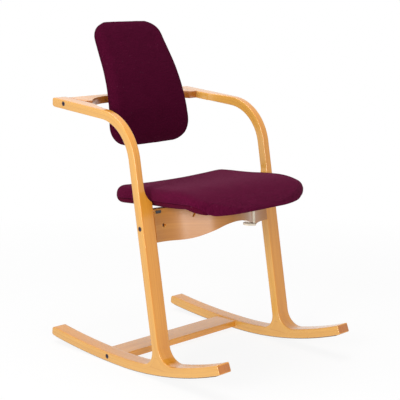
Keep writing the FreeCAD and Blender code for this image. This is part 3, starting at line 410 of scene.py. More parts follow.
def lowestAt(p, u, centre, distance):
    gap = p - centre
    half = gap.dot(u)
    return p + u * (-half - math.sqrt(half * half - gap.dot(gap) + distance * distance))


def heading(a):
    return Vector((math.sin(a), -math.cos(a)))


def angleOf(v):
    return math.atan2(v.x, -v.y)


def armPoint(y, depth):
    return Vector((y, sideSet["armHeight"] + y * math.tan(rise))) + below * depth


bendHub = linesMeet(foot + back * sideSet["bend"], upright, armPoint(0, 0) + below * sideSet["bend"], along)
frontFootHub = lowestAt(foot - back * sideSet["frontFoot"], upright, frontHub,
                        frontTop - sideSet["frontFoot"])
rearFootHub = lowestAt(foot + back * (sideSet["depth"] + sideSet["rearFoot"]), upright, frontHub,
                       frontTop - sideSet["rearFoot"])
frontDown, rearDown = (frontFootHub - frontHub).normalized(), (rearFootHub - frontHub).normalized()


def lineRows(start, end, inward, step):
    count = max(1, round((end - start).length / step))
    return [(start.lerp(end, k / count), inward) for k in range(count)]


def arcRows(hub, radius, fromAngle, toAngle, inwards, step):
    count = max(2, round(abs(toAngle - fromAngle) * radius / step))
    turns = [heading(fromAngle + (toAngle - fromAngle) * k / count) for k in range(count)]
    return [(hub + turn * radius, turn * inwards) for turn in turns]


def armRows():
    # From the arm's tip to the end of the bend, closer together where the scoop runs out.
    r = rowSet
    marks = [armPoint(sideSet["armTip"], 0), armPoint(r["scoopEnd"], 0), bendHub - below * sideSet["bend"]]
    rows = lineRows(marks[0], marks[1], below, r["arm"]) + lineRows(marks[1], marks[2], below, r["scoop"])
    return rows + arcRows(bendHub, sideSet["bend"], angleOf(-below), angleOf(-back), -1, r["bend"])


def uprightRows(lowest):
    r = rowSet
    marks = [bendHub - back * sideSet["bend"]]
    for level in r["shoulderMarks"]:
        marks.append(linesMeet(foot, upright, Vector((0, level)), Vector((1, 0))))
    marks.append(lowest)
    rows = []
    for start, end, step in zip(marks, marks[1:], (r["upright"], r["shoulder"], r["leg"])):
        rows += lineRows(start, end, back, step)
    return rows


def frontRows():
    ends = angleOf(back), angleOf(frontDown)
    rows = armRows() + uprightRows(frontFootHub + back * sideSet["frontFoot"])
    rows += arcRows(frontFootHub, sideSet["frontFoot"], ends[0], ends[1], 1, rowSet["foot"])
    rows += arcRows(frontHub, frontTop, ends[1], frontAngle, 1, rowSet["runner"])
    return rows + [(frontHub + heading(frontAngle) * frontTop, heading(frontAngle))]


def rearRows():
    depth, step = sideSet["depth"], rowSet["runner"]
    reach = sideSet["rearFoot"] + depth
    ends = angleOf(-back), angleOf(rearDown)
    rows = armRows() + uprightRows(rearFootHub - back * reach)
    rows += arcRows(rearFootHub, reach, ends[0], ends[1], -1, rowSet["foot"])
    rows += arcRows(frontHub, frontTop + depth, ends[1], 0, -1, step)
    rows += arcRows(rearHub, rearTop + depth, 0, rearAngle, -1, step)
    return rows + [(rearHub + heading(rearAngle) * (rearTop + depth), -heading(rearAngle))]


def soleRows():
    rows = arcRows(frontHub, frontTop, frontAngle, 0, 1, rowSet["runner"])
    rows += arcRows(rearHub, rearTop, 0, rearAngle, 1, rowSet["runner"])
    return rows + [(rearHub + heading(rearAngle) * rearTop, heading(rearAngle))]


def innerLimit(spot, depth):
    # Inner face of the side frame, with the scoop of the upper upright and the thinner inside of the arm.
    s = sideSet
    hollow = s["deep"] - s["legInner"]

    def reach(radius):
        return radius * math.sin(math.acos(1 - hollow / radius))

    def runOut(run, radius):
        run = min(max(0, run), reach(radius))
        return s["deep"] - radius * (1 - math.cos(math.asin(run / radius)))
    if spot.y > s["shoulder"] and depth > s["wideDepth"]:
        return s["deep"]
    start = s["scoopRear"] - reach(s["rearRound"])
    return min(runOut(s["shoulder"] - spot.y, s["shoulderRound"]), runOut(spot.x - start, s["rearRound"]))


def lift(distance, radius):
    inside = max(0, radius - distance)
    return radius - math.sqrt(max(0, radius * radius - inside * inside))


def withEndRows(rows, startRound, endRound):
    # Adds rows close to both ends, for the rounding there.
    def extra(a, b, radius):
        length = (b[0] - a[0]).length
        shares = [radius * (1 - math.cos(math.radians(t))) / length for t in rowSet["tipTurns"]]
        return [(a[0].lerp(b[0], k), a[1].lerp(b[1], k).normalized()) for k in shares
                if k < rowSet["tipShare"]]
    first = extra(rows[0], rows[1], startRound)
    last = extra(rows[-1], rows[-2], endRound)
    return first + rows[1:-1] + last[::-1]


def lamination(name, side, rows, glue, open, startRound, endRound):
    s = sideSet
    rows = withEndRows(rows, startRound, endRound)
    runs = [0]
    for a, b in zip(rows, rows[1:]):
        runs.append(runs[-1] + ((b[0] + b[1] * glue) - (a[0] + a[1] * glue)).length)
    sign = 1 if open > glue else -1
    r, flat = s["edge"], rowSet["flatSteps"]
    arc = [math.radians(a) for a in rowSet["edgeTurns"]]
    points, faceUv, layerUv, endUv = [], [], [], []
    for (spot, inward), run in zip(rows, runs):
        toStart, toEnd = run, runs[-1] - run
        cut = max(lift(toStart, startRound), lift(toEnd, endRound))
        draw = max(lift(toStart, s["sideRound"]), lift(toEnd, s["sideRound"]))
        top = open - sign * cut
        ring = [(s["half"], glue)]
        ring += [(s["half"] - r + r * math.cos(a), top - sign * r * (1 - math.sin(a))) for a in arc]
        inner = innerLimit(spot + inward * top, top) + r
        ring += [(s["half"] - r + (inner - s["half"] + r) * k / flat, top) for k in range(1, flat)]
        for a in arc[::-1]:
            depth = top - sign * r * (1 - math.sin(a))
            ring.append((innerLimit(spot + inward * depth, depth) + r - r * math.cos(a), depth))
        if open > s["wideDepth"]:
            step = min(s["wideDepth"], top - r)
            ring += [(innerLimit(spot + inward * step, d), step) for d in (step + rowSet["lip"], step)]
        ring.append((innerLimit(spot + inward * glue, glue), glue))
        middle = (s["half"] + inner) / 2
        for x, depth in ring:
            if x > middle:
                x = min(x, s["half"] - draw)
            else:
                x += draw
            at = spot + inward * depth
            points.append((side * x, at.x, at.y))
            faceUv.append((run + side * s["grainShift"], x))
            layerUv.append((run + side * s["grainShift"], depth))
            endUv.append((depth * woodSet["endScale"], x))
    count = len(ring)
    edgeRing = {0, 1, 2, *range(len(arc) + flat + 2, count - 1)}
    faceMats = [int(k % count in edgeRing) for k in range((len(rows) - 1) * count)]
    return makeObject(name, points, tube(len(rows), count), [woodFace, woodEdge, woodEnd], faceMats + [2, 2],
                      {"face": faceUv, "layer": layerUv, "end": endUv})


def boltSpots():
    s = sideSet
    level = Vector((0, s["bearerBolt"]))
    bearer = linesMeet(foot + back * (s["depth"] / 2), upright, level, Vector((1, 0)))
    return [armPoint(*s["railBolt"]), bearer, Vector(s["runnerBolt"])]


def drillers(side):
    # Counterbores of the three bolts of one side.
    s, count = sideSet, sideSet["boreSides"]
    turns = [2 * math.pi * k / count for k in range(count)]
    cutters = []
    for at in boltSpots():
        rings = []
        for x in (s["half"] + s["boreStart"], s["half"] - s["boreDepth"]):
            rings += [(side * x, at.x + s["boreRadius"] * math.cos(a), at.y + s["boreRadius"] * math.sin(a))
                      for a in turns]
        cutters.append(makeObject("driller", rings, tube(2, count), [woodEnd]))
    return cutters


for side, name in ((-1, "right"), (1, "left")):
    s = sideSet
    front = lamination(name + "FrontStrip", side, frontRows(), s["ply"], 0, s["tipTop"], s["frontEnd"])
    rear = lamination(name + "RearStrip", side, rearRows(), s["ply"], s["depth"], s["tipLow"], s["rearEnd"])
    sole = lamination(name + "Sole", side, soleRows(), s["ply"], s["runnerDepth"] - s["strip"],
                      s["frontEnd"], s["rearEnd"])
    for obj, node in ((front, "front"), (rear, "rear"), (sole, "sole")):
        cutWith(obj, drillers(side))
        place(obj, "frame", "wood_side", name + "_" + node + "_lamination")
print("stage: side frames swept")


# CAD pieces that only need softer edges and a grain
softSet = {"flat": 0.6, "keen": 40, "sharp": 32, "rail": 2.0, "lever": 0.9, "knob": 0.5, "post": 0.7,
           "guide": 0.4, "sideways": 0.9, "shadedFront": -0.5, "railShift": 91, "stretcherShift": 44,
           "wedgeGrain": (3, 0.05, 20), "merge": 2e-6, "segments": 2, "profile": 0.6}


def softCopy(name, node, materials, chamfer, uvs=None, faceMat=None):
    mesh = nodes[node].data.copy()
    mesh.name = name
    mesh.materials.clear()
    bm = bmesh.new()
    bm.from_mesh(mesh)
    bmesh.ops.remove_doubles(bm, verts=bm.verts, dist=softSet["merge"])
    bmesh.ops.dissolve_limit(bm, angle_limit=math.radians(softSet["flat"]), verts=bm.verts, edges=bm.edges)
    if chamfer:
        least = math.radians(softSet["keen"])
        keen = [e for e in bm.edges if len(e.link_faces) == 2 and e.calc_face_angle(0) > least]
        bmesh.ops.bevel(bm, geom=keen, offset=chamfer * mm, segments=softSet["segments"],
                        profile=softSet["profile"], affect="EDGES", clamp_overlap=True)
    bmesh.ops.recalc_face_normals(bm, faces=bm.faces)
    bm.to_mesh(mesh)
    bm.free()
    for mat in materials:
        mesh.materials.append(mat)
    for layer, rule in (uvs or {}).items():
        paintUv(mesh, layer, [rule(v.co / mm) for v in mesh.vertices])
    for poly in mesh.polygons:
        poly.material_index = faceMat(poly.normal) if faceMat else 0
        poly.use_smooth = True
    mesh.set_sharp_from_angle(angle=math.radians(softSet["sharp"]))
    return newObject(name, mesh)


bearerSet = {"bow": 95.0, "radius": 143.0, "half": 220.0, "edge": 1.6, "stretch": 1.1, "grainShift": 333,
             "holeTurn": 0.8, "edgeTurn": 0.6, "faceFit": 0.97}


def bowAt(x):
    # How far forward the middle of the bearer is, and its slope there.
    s = bearerSet
    span = math.hypot(s["half"], s["bow"] - 2 * s["radius"])
    slope = math.atan2(s["bow"] - 2 * s["radius"], s["half"]) + math.asin(2 * s["radius"] / span)
    x = min(abs(x), s["half"])
    if x < s["radius"] * math.sin(slope):
        return s["bow"] - s["radius"] + math.sqrt(s["radius"] ** 2 - x ** 2), math.asin(x / s["radius"])
    outer = s["half"] - x
    if outer < s["radius"] * math.sin(slope):
        return s["radius"] - math.sqrt(s["radius"] ** 2 - outer ** 2), math.asin(outer / s["radius"])
    start = s["half"] - s["radius"] * math.sin(slope)
    return s["radius"] * (1 - math.cos(slope)) + (start - x) * math.tan(slope), slope


def bearerDepth(p):
    spot = Vector((p.y, p.z)) - foot
    forward = sideSet["depth"] / 2 - spot.dot(back)
    bow, slope = bowAt(p.x)
    return sideSet["depth"] / 2 + (bow - forward) * math.cos(slope)


def bearerFace(normal):
    # Darker panel wood, painted shade from the seat above, on the broad faces; plies above and below; end
    # grain in the holes.
    if abs(normal.x) > bearerSet["holeTurn"]:
        return 2
    return 1 if abs(normal.y * math.sin(lean) + normal.z * math.cos(lean)) > bearerSet["edgeTurn"] else 0


def alongBearer(p):
    return p.x * bearerSet["stretch"] + bearerSet["grainShift"]


def endGrain(p):
    return p.y * woodSet["endScale"], p.z


bearer = softCopy("bearer", "seat_bearer", [woodPanel, woodEdge, woodEnd], bearerSet["edge"],
                  {"face": lambda p: (alongBearer(p), p.z),
                   "layer": lambda p: (alongBearer(p), bearerDepth(p)),
                   "end": endGrain}, bearerFace)
# The broad faces take the normals of the bow itself, so that the gloss runs evenly over them.
across3 = Vector((0, -back.x, -back.y))
normals = []
for poly in bearer.data.polygons:
    for index in poly.vertices:
        x = bearer.data.vertices[index].co.x / mm
        slope = math.copysign(bowAt(x)[1], x)
        aim = across3 * math.cos(slope) + Vector((math.sin(slope), 0, 0))
        fits = poly.normal.dot(aim)
        normals.append(aim * math.copysign(1, fits) if abs(fits) > bearerSet["faceFit"] else Vector())
bearer.data.normals_split_custom_set(normals)
# The rail's forward faces take the dark end-grain wood: cut end grain, and painted shade of the backrest over
# them.
rail = softCopy("backRail", "back_rail", [woodFace, woodEnd], softSet["rail"],
                {"face": lambda p: (p.x + softSet["railShift"], p.y + p.z), "end": endGrain},
                lambda n: 1 if abs(n.x) > softSet["sideways"] or n.y < softSet["shadedFront"] else 0)
stretcher = softCopy("stretcher", "runner_stretcher", [woodFace], 0,
                     {"face": lambda p: (p.x + softSet["stretcherShift"], p.y - p.z)})
for obj, node in ((bearer, "seat_bearer"), (rail, "back_rail"), (stretcher, "runner_stretcher")):
    place(obj, "frame", "wood_cross", node)
stretch, squeeze, shift = softSet["wedgeGrain"]
for name in ("right", "left"):
    wedge = softCopy(name + "Wedge", name + "_foot_wedge", [woodEdge, woodFace], 0,
                     {"layer": lambda p: (p.y * stretch, p.z * squeeze + shift),
                      "face": lambda p: (p.x, p.y)},
                     lambda n: 0 if abs(n.x) > softSet["sideways"] else 1)
    place(wedge, "frame", "wood_side", name + "_foot_wedge")
for name, node, body, slot, material in (
        ("releaseLever", "release_lever", "lever", "lever_plastic", leverMaterial),
        ("clampKnob", "clamp_knob", "knob", "nylon", nylonMaterial),
        ("backPost", "back_post", "frame", "dark_steel", darkSteel),
        ("backrestGuide", "backrest_guide", "backrest", "dark_steel", darkSteel)):
    place(softCopy(name, node, [material], softSet[node.split("_")[1]]), body, slot, node)
print("stage: cross pieces, wedges, lever, knob and post")


# Geometry nodes: trees that repeat a piece, made here and turned into plain mesh
def newTree(name, inputs):
    tree = bpy.data.node_groups.new(name, "GeometryNodeTree")
    tree.interface.new_socket(name="Geometry", in_out="INPUT", socket_type="NodeSocketGeometry")
    tree.interface.new_socket(name="Geometry", in_out="OUTPUT", socket_type="NodeSocketGeometry")
    sockets = {}
    for key, kind in inputs.items():
        socket = tree.interface.new_socket(name=key, in_out="INPUT", socket_type="NodeSocket" + kind)
        sockets[key] = socket.identifier
    return tree, tree.nodes.new("NodeGroupInput"), tree.nodes.new("NodeGroupOutput"), sockets


def growWith(obj, tree, sockets, values):
    maker = obj.modifiers.new("grow", "NODES")
    maker.node_group = tree
    for key, value in values.items():
        maker[sockets[key]] = value
    return settle(obj)


def repeatTree():
    # Sets one piece on every point, its own Z along the point's aim.
    tree, source, result, sockets = newTree("repeatOnPoints", {"Piece": "Object", "Finish": "Material"})
    info = add(tree, "GeometryNodeObjectInfo", transform_space="ORIGINAL")
    aim = add(tree, "GeometryNodeInputNamedAttribute", data_type="FLOAT_VECTOR", Name="aim")
    turn = add(tree, "FunctionNodeAlignRotationToVector", axis="Z")
    copies = add(tree, "GeometryNodeInstanceOnPoints")
    real = add(tree, "GeometryNodeRealizeInstances")
    finish = add(tree, "GeometryNodeSetMaterial")
    join(tree, (source, "Piece", info, "Object"), (aim, "Attribute", turn, "Vector"),
         (source, "Geometry", copies, "Points"), (info, "Geometry", copies, "Instance"),
         (turn, "Rotation", copies, "Rotation"), (copies, "Instances", real, "Geometry"),
         (real, "Geometry", finish, "Geometry"), (source, "Finish", finish, "Material"),
         (finish, "Geometry", result, "Geometry"))
    return tree, sockets


repeatGroup, repeatSockets = repeatTree()


fastenerSet = {"sides": 48, "rim": 0.08, "rimLine": ((2, 0), (0.6, 0.4), (0, 1.4)), "taper": 0.98,
               "bevel": 0.25, "neck": 0.01, "tip": 0.4}


def fastener(name, head, headHeight, shank, length, socket, socketDepth, sunk):
    # One bolt or screw with a six-sided socket. Its head is at the top, at the origin.
    f, count = fastenerSet, fastenerSet["sides"]
    turns = [2 * math.pi * k / count for k in range(count)]

    def hexagon(a):
        return socket * math.cos(math.pi / 6) / math.cos((a + math.pi / 6) % (math.pi / 3) - math.pi / 6)
    rim = head * f["rim"]
    rings = [[(hexagon(a) * f["taper"], -socketDepth) for a in turns],
             [(hexagon(a), -f["bevel"]) for a in turns], [(hexagon(a) + f["bevel"], 0) for a in turns]]
    line = [(head - rim * inside, -rim * deep) for inside, deep in f["rimLine"]]
    line += [(shank if sunk else head, -headHeight), (shank, -headHeight - f["neck"]),
             (shank, -length + shank), (shank * f["tip"], -length)]
    rings += [[spot] * count for spot in line]
    points = [(radius * math.cos(a), radius * math.sin(a), z)
              for ring in rings for (radius, z), a in zip(ring, turns)]
    return makeObject(name, points, tube(len(rings), count), [boltMaterial])


def repeated(name, piece, spots, material):
    mesh = bpy.data.meshes.new(name)
    mesh.from_pydata([Vector(at) * mm for at, aim in spots], [], [])
    aims = mesh.attributes.new("aim", "FLOAT_VECTOR", "POINT")
    for k, (at, aim) in enumerate(spots):
        aims.data[k].vector = aim
    obj = newObject(name, mesh)
    growWith(obj, repeatGroup, repeatSockets, {"Piece": piece, "Finish": material})
    bpy.data.objects.remove(piece)
    tidyMesh(obj.data, meshSet["sharp"])
    return obj


boltSet = {"head": 6.5, "headHeight": 5.0, "shank": 4.0, "length": 81.0, "socket": 3.6, "socketDepth": 3.0}
screwSet = {"head": 4.0, "headHeight": 2.2, "shank": 2.0, "length": 22.0, "socket": 1.7, "socketDepth": 1.4}
guideScrewSet = {**screwSet, "length": 16.0}
poseSet = {"seatTilt": 3.5, "seatY": -69, "seatZ": 472,
           "postY": 198, "postZ": 725, "postRise": 100, "postBend": 430}
seatTilt, postTilt = math.radians(poseSet["seatTilt"]), math.asin(poseSet["postRise"] / poseSet["postBend"])
postOrigin = Vector((poseSet["postY"] + poseSet["postBend"] * (1 - math.cos(postTilt)), poseSet["postZ"]))


def tilted(y, z, tilt):
    # Places measured along and square to a tilted part, turned into places in the frame.
    def toWorld(x, v, w):
        return Vector((x, y + v * math.cos(tilt) + w * math.sin(tilt),
                       z - v * math.sin(tilt) + w * math.cos(tilt)))
    return toWorld


onSeat = tilted(poseSet["seatY"], poseSet["seatZ"], seatTilt)
onPost = tilted(*postOrigin, postTilt)


def centres(node):
    # Middles of the separate solids of a CAD node, in millimetres.
    bm = bmesh.new()
    bm.from_mesh(nodes[node].data)
    bmesh.ops.remove_doubles(bm, verts=bm.verts, dist=meshSet["merge"])
    left, found = set(bm.verts), []
    while left:
        group, edge = set(), [left.pop()]
        while edge:
            v = edge.pop()
            group.add(v)
            for e in v.link_edges:
                other = e.other_vert(v)
                if other in left:
                    left.remove(other)
                    edge.append(other)
        lo = [min(v.co[k] for v in group) for k in range(3)]
        hi = [max(v.co[k] for v in group) for k in range(3)]
        found.append(Vector([(a + b) / 2 for a, b in zip(lo, hi)]) / mm)
    bm.free()
    return sorted(found, key=lambda p: tuple(p))


spots = [((side * sideSet["half"], at.x, at.y), (side, 0, 0)) for side in (-1, 1) for at in boltSpots()]
frameBolts = repeated("frameBolts", fastener("boltPiece", *boltSet.values(), False), spots, boltMaterial)
place(frameBolts, "frame", "bolt", "frame_bolts")
down, rearwards = onSeat(0, 0, -1) - onSeat(0, 0, 0), onPost(0, 1, 0) - onPost(0, 0, 0)
for name, node, body, sizes, aim in (("glideScrews", "glide_screws", "seat", screwSet, down),
                                     ("guideScrews", "guide_screws", "backrest", guideScrewSet, rearwards)):
    spots = [(p + aim * sizes["length"] / 2, aim) for p in centres(node)]
    piece = fastener("screwPiece", *sizes.values(), True)
    place(repeated(name, piece, spots, steelMaterial), body, "steel", node)
print("stage: bolts and screws repeated")


# Felt under the runners: a strip swept along the rocker line, roughened, with loose fibres
feltSet = {
    "width": 38.0, "inset": 14.0, "slack": 0.7, "profileSteps": 14, "lineSteps": 120, "rough": 0.00035,
    "grain": 420.0, "fibres": 52000.0, "fibreLength": 0.0026, "fibreRadius": 0.00016, "fibreLean": 0.9,
    "facing": -0.3, "seed": 7, "lowest": 0.0001}


def feltTree():
    tree, source, result, sockets = newTree("feltStrip", {
        "Profile": "Object", "Roughness": "Float", "Grain": "Float", "Fibres": "Float",
        "Fibre Length": "Float", "Seed": "Int", "Finish": "Material"})
    curve = add(tree, "GeometryNodeMeshToCurve")
    info = add(tree, "GeometryNodeObjectInfo", transform_space="ORIGINAL")
    profile = add(tree, "GeometryNodeMeshToCurve")
    sweepNode = add(tree, "GeometryNodeCurveToMesh")
    sweepNode.inputs["Fill Caps"].default_value = True
    spot = add(tree, "GeometryNodeInputPosition")
    mottle = add(tree, "ShaderNodeTexNoise", Detail=4.0)
    centred = add(tree, "ShaderNodeVectorMath", operation="SUBTRACT")
    centred.inputs[1].default_value = (0.5, 0.5, 0.5)
    scaled = add(tree, "ShaderNodeVectorMath", operation="SCALE")
    shift = add(tree, "GeometryNodeSetPosition")
    normal = add(tree, "GeometryNodeInputNormal")
    parts = add(tree, "ShaderNodeSeparateXYZ")
    sideways = add(tree, "FunctionNodeCompare", data_type="FLOAT", operation="GREATER_THAN",
                   B=feltSet["facing"])
    scatter = add(tree, "GeometryNodeDistributePointsOnFaces")
    fibre = add(tree, "GeometryNodeMeshCone", Vertices=3)
    fibre.inputs["Radius Bottom"].default_value = feltSet["fibreRadius"]
    lean3 = add(tree, "FunctionNodeRandomValue", data_type="FLOAT_VECTOR",
                Min=(-feltSet["fibreLean"],) * 3, Max=(feltSet["fibreLean"],) * 3)
    turned = add(tree, "FunctionNodeRotateRotation")
    toTurn = add(tree, "FunctionNodeEulerToRotation")
    copies = add(tree, "GeometryNodeInstanceOnPoints")
    both = add(tree, "GeometryNodeJoinGeometry")
    real = add(tree, "GeometryNodeRealizeInstances")
    finish = add(tree, "GeometryNodeSetMaterial")
    join(tree, (source, "Geometry", curve, "Mesh"), (source, "Profile", info, "Object"),
         (info, "Geometry", profile, "Mesh"), (curve, "Curve", sweepNode, "Curve"),
         (profile, "Curve", sweepNode, "Profile Curve"), (spot, "Position", mottle, "Vector"),
         (source, "Grain", mottle, "Scale"), (mottle, "Color", centred, 0), (centred, "Vector", scaled, 0),
         (source, "Roughness", scaled, "Scale"), (sweepNode, "Mesh", shift, "Geometry"),
         (scaled, "Vector", shift, "Offset"), (normal, "Normal", parts, "Vector"),
         (parts, "Z", sideways, "A"),
         (shift, "Geometry", scatter, "Mesh"), (sideways, "Result", scatter, "Selection"),
         (source, "Fibres", scatter, "Density"), (source, "Seed", scatter, "Seed"),
         (source, "Fibre Length", fibre, "Depth"), (source, "Seed", lean3, "Seed"),
         (lean3, "Value", toTurn, "Euler"),
         (scatter, "Rotation", turned, "Rotation"), (toTurn, "Rotation", turned, "Rotate By"),
         (scatter, "Points", copies, "Points"), (fibre, "Mesh", copies, "Instance"),
         (turned, "Rotation", copies, "Rotation"), (shift, "Geometry", both, "Geometry"),
         (copies, "Instances", both, "Geometry"), (both, "Geometry", real, "Geometry"),
         (real, "Geometry", finish, "Geometry"), (source, "Finish", finish, "Material"),
         (finish, "Geometry", result, "Geometry"))
    return tree, sockets


def wireObject(name, points, closed):
    mesh = bpy.data.meshes.new(name)
    edges = [(k, k + 1) for k in range(len(points) - 1)] + ([(len(points) - 1, 0)] if closed else [])
    mesh.from_pydata([Vector(p) * mm for p in points], edges, [])
    return newObject(name, mesh)


feltGroup, feltSockets = feltTree()
for side, name in ((-1, "right"), (1, "left")):
    half, thick = feltSet["width"] / 2, sideSet["strip"] - feltSet["slack"]
    count = feltSet["profileSteps"]
    steps = [-half + 2 * half * k / count for k in range(count + 1)]
    outline = [(x, -thick / 2, 0) for x in steps] + [(-x, thick / 2, 0) for x in steps]
    profile = wireObject("feltProfile", outline, True)
    middle = sideSet["runnerDepth"] - sideSet["strip"] + thick / 2
    across2 = side * (sideSet["half"] + sideSet["legInner"]) / 2
    line = []
    for hub, radius, start, end in ((frontHub, frontTop, frontAngle, 0), (rearHub, rearTop, 0, rearAngle)):
        for k in range(feltSet["lineSteps"] + 1):
            at = hub + heading(start + (end - start) * k / feltSet["lineSteps"]) * (radius + middle)
            line.append((across2, at.x, at.y))
    ends = [p for p in line if abs(p[1]) < sideSet["runnerHalf"] - feltSet["inset"]]
    strip = wireObject(name + "Felt", [p for k, p in enumerate(ends) if k == 0 or p != ends[k - 1]], False)
    growWith(strip, feltGroup, feltSockets, {
        "Profile": profile, "Roughness": feltSet["rough"], "Grain": feltSet["grain"],
        "Fibres": feltSet["fibres"], "Fibre Length": feltSet["fibreLength"], "Seed": feltSet["seed"],
        "Finish": feltMaterial})
    bpy.data.objects.remove(profile)
    for v in strip.data.vertices:
        v.co.z = max(v.co.z, feltSet["lowest"])
    place(strip, "frame", "felt", name + "_sole_strip")
print("stage: felt strips")


# Cushions: closed shells drawn to the CAD sections, then puffed up as cloth
shellSet = {"thin": 0.4, "inset": 0.5, "tuckShare": 0.3, "noseTurns": (0, 14, 24, 34, 44, 54, 64),
            "noseShare": 0.28, "relax": (0.5, -0.51), "sharp": 70, "held": 2}


def drawIn(inside, run, draw):
    return draw * (1 - math.sqrt(max(0, 1 - (1 - min(1, inside / run)) ** 2)))


seatSet = {
    "length": 386.0, "half": 223.0, "thick": 45.0, "crown": 4.0, "dish": 7.0, "frontRun": 63.0,
    "frontDraw": 215.0, "rearRun": 40.0, "rearDraw": 57.0, "frontNose": 88.0, "rearNose": 30.0, "droop": 43.0,
    "droopLength": 140.0, "waist": 8.0, "waistAt": 49.0, "waistLength": 170.0, "tuck": 15.0, "belly": 8.0,
    "bellyStart": 78.0, "bellyRun": 55.0, "seam": 10.0, "seamTurn": 65.0, "seamRadius": 38.0, "groove": 1.0,
    "grooveWidth": 3.5, "step": 5.0, "tip": 0.6, "sideSteps": 12, "baseSteps": 6, "topSteps": 64,
    "closeSteps": 30, "cap": 2.2, "pressure": 4.0, "ease": 8, "relax": 12, "uneven": (0.5, 48),
    "baseUneven": (0.4, 60)}


def seatShape(v):
    # Half width, top, underside, tuck, crown and seam level of the seat at one station.
    s = seatSet
    fromFront = s["length"] / 2 + v
    inside = s["length"] / 2 - abs(v)
    run, draw, nose = ((s["frontRun"], s["frontDraw"], s["frontNose"]) if v < 0 else
                       (s["rearRun"], s["rearDraw"], s["rearNose"]))
    half = s["half"] - drawIn(inside, run, draw)
    off = abs(v - s["waistAt"])
    if off < s["waistLength"] / 2:
        half -= s["waist"] * math.cos(math.pi * off / s["waistLength"]) ** 2
    centre = s["thick"] / 2 - s["droop"] * max(0, 1 - fromFront / s["droopLength"]) ** 2
    swell = 1 - drawIn(inside, nose, 1)
    share = min(1, max(0, (fromFront - s["bellyStart"]) / s["bellyRun"]))
    top = centre + s["thick"] / 2 * swell
    low = centre - (s["thick"] / 2 + s["belly"] * share * share * (3 - 2 * share)) * swell
    past = s["seamTurn"] - fromFront
    seam = s["seam"]
    if past > 0:
        seam += math.sqrt(max(0, s["seamRadius"] ** 2 - past ** 2)) - s["seamRadius"]
    if past > s["seamRadius"]:
        seam = low
    bulge = s["crown"] - (s["crown"] + s["dish"]) * min(1, max(0, 0.5 + 2 * v / s["length"]))
    return half, top, low, min(s["tuck"], (top - low) * shellSet["tuckShare"]), bulge * swell, seam


def sideArc(half, tuck, deep, level):
    # Half width at a level above the middle of the side's rounding.
    radius = (tuck * tuck + deep * deep) / (2 * tuck)
    return half - radius + math.sqrt(max(0, radius * radius - level * level))


def stationsOf(start, end, step, tip, nose):
    # Places of the sections, closer together in the noses at both ends.
    runs = [tip + nose * (1 - math.cos(math.radians(a))) / 2 for a in shellSet["noseTurns"]]
    spots = [start + run for run in runs] + [end - run for run in runs]
    inside = tip + nose * shellSet["noseShare"]
    lo, hi = start + inside, end - inside
    count = round((hi - lo) / step)
    return sorted(spots + [lo + (hi - lo) * (k + 0.5) / count for k in range(count)])


def shellRows(rings):
    # Cloth UV from the lengths round each ring and along the rows.
    points, weave = [], []
    for v, ring in rings:
        runs = [0]
        for a, b in zip(ring, ring[1:]):
            runs.append(runs[-1] + math.hypot(b[0] - a[0], b[2] - a[2]))
        points += ring
        weave += [(run - runs[-1] / 2, v) for run in runs]
    return points, weave


def eased(line, rounds):
    # Rounds off the creases along a line whose ends stay.
    for k in range(rounds):
        inner = [((a[0] + 2 * b[0] + c[0]) / 4, (a[1] + 2 * b[1] + c[1]) / 4)
                 for a, b, c in zip(line, line[1:], line[2:])]
        line = [line[0]] + inner + [line[-1]]
    return line


def ringOf(s, side, edge, topAt, level):
    # Mirrors one side, joins the two over the top and closes the ring inside at the seam.
    count = s["topSteps"]
    ring = [(-x, w) for x, w in side]
    for k in range(1, count):
        x = -edge + 2 * edge * k / count
        ring.append((x, topAt(x)))
    ring = eased(ring + side[::-1], s["ease"])
    inner, count = side[0][0] - shellSet["inset"], s["closeSteps"]
    return ring + [(inner - 2 * inner * k / count, level) for k in range(1, count)]


def sideLine(s, count, main, seam, end, seamed, widthAt):
    # One side from the seam to its end, drawn in at the groove of the seam.
    side = []
    for k in range(count + 1):
        share = 1 - math.cos(math.pi / 2 * k / count) if main else k / count
        level = seam + (end - seam) * share
        pull = s["groove"] * max(0, 1 - abs(level - seam) / s["grooveWidth"]) ** 2 if seamed else 0
        side.append((widthAt(level) - pull, level))
    return side


def seatRings(upper):
    s = seatSet
    rings = []
    for v in stationsOf(-s["length"] / 2, s["length"] / 2, s["step"], s["tip"], s["rearNose"]):
        half, top, low, tuck, crown, seam = seatShape(v)
        middle, deep = (top + low) / 2, (top - low) / 2
        level = max(low, seam)
        if not upper and level - low < shellSet["thin"]:
            continue
        side = sideLine(s, s["sideSteps"] if upper else s["baseSteps"], upper, level, top if upper else low,
                        seam > low, lambda w: sideArc(half, tuck, deep, w - middle))
        edge = half - tuck
        ring = ringOf(s, side, edge, lambda x: top + crown * (1 - (x / edge) ** 2) if upper else low, level)
        rings.append((v, [(x, v, w) for x, w in ring]))
    return rings


clothSet = {"quality": 4, "mass": 0.3, "tension_stiffness": 25, "compression_stiffness": 25,
            "bending_stiffness": 2, "use_pressure": True, "vertex_group_mass": "held"}
clothFrames = 20


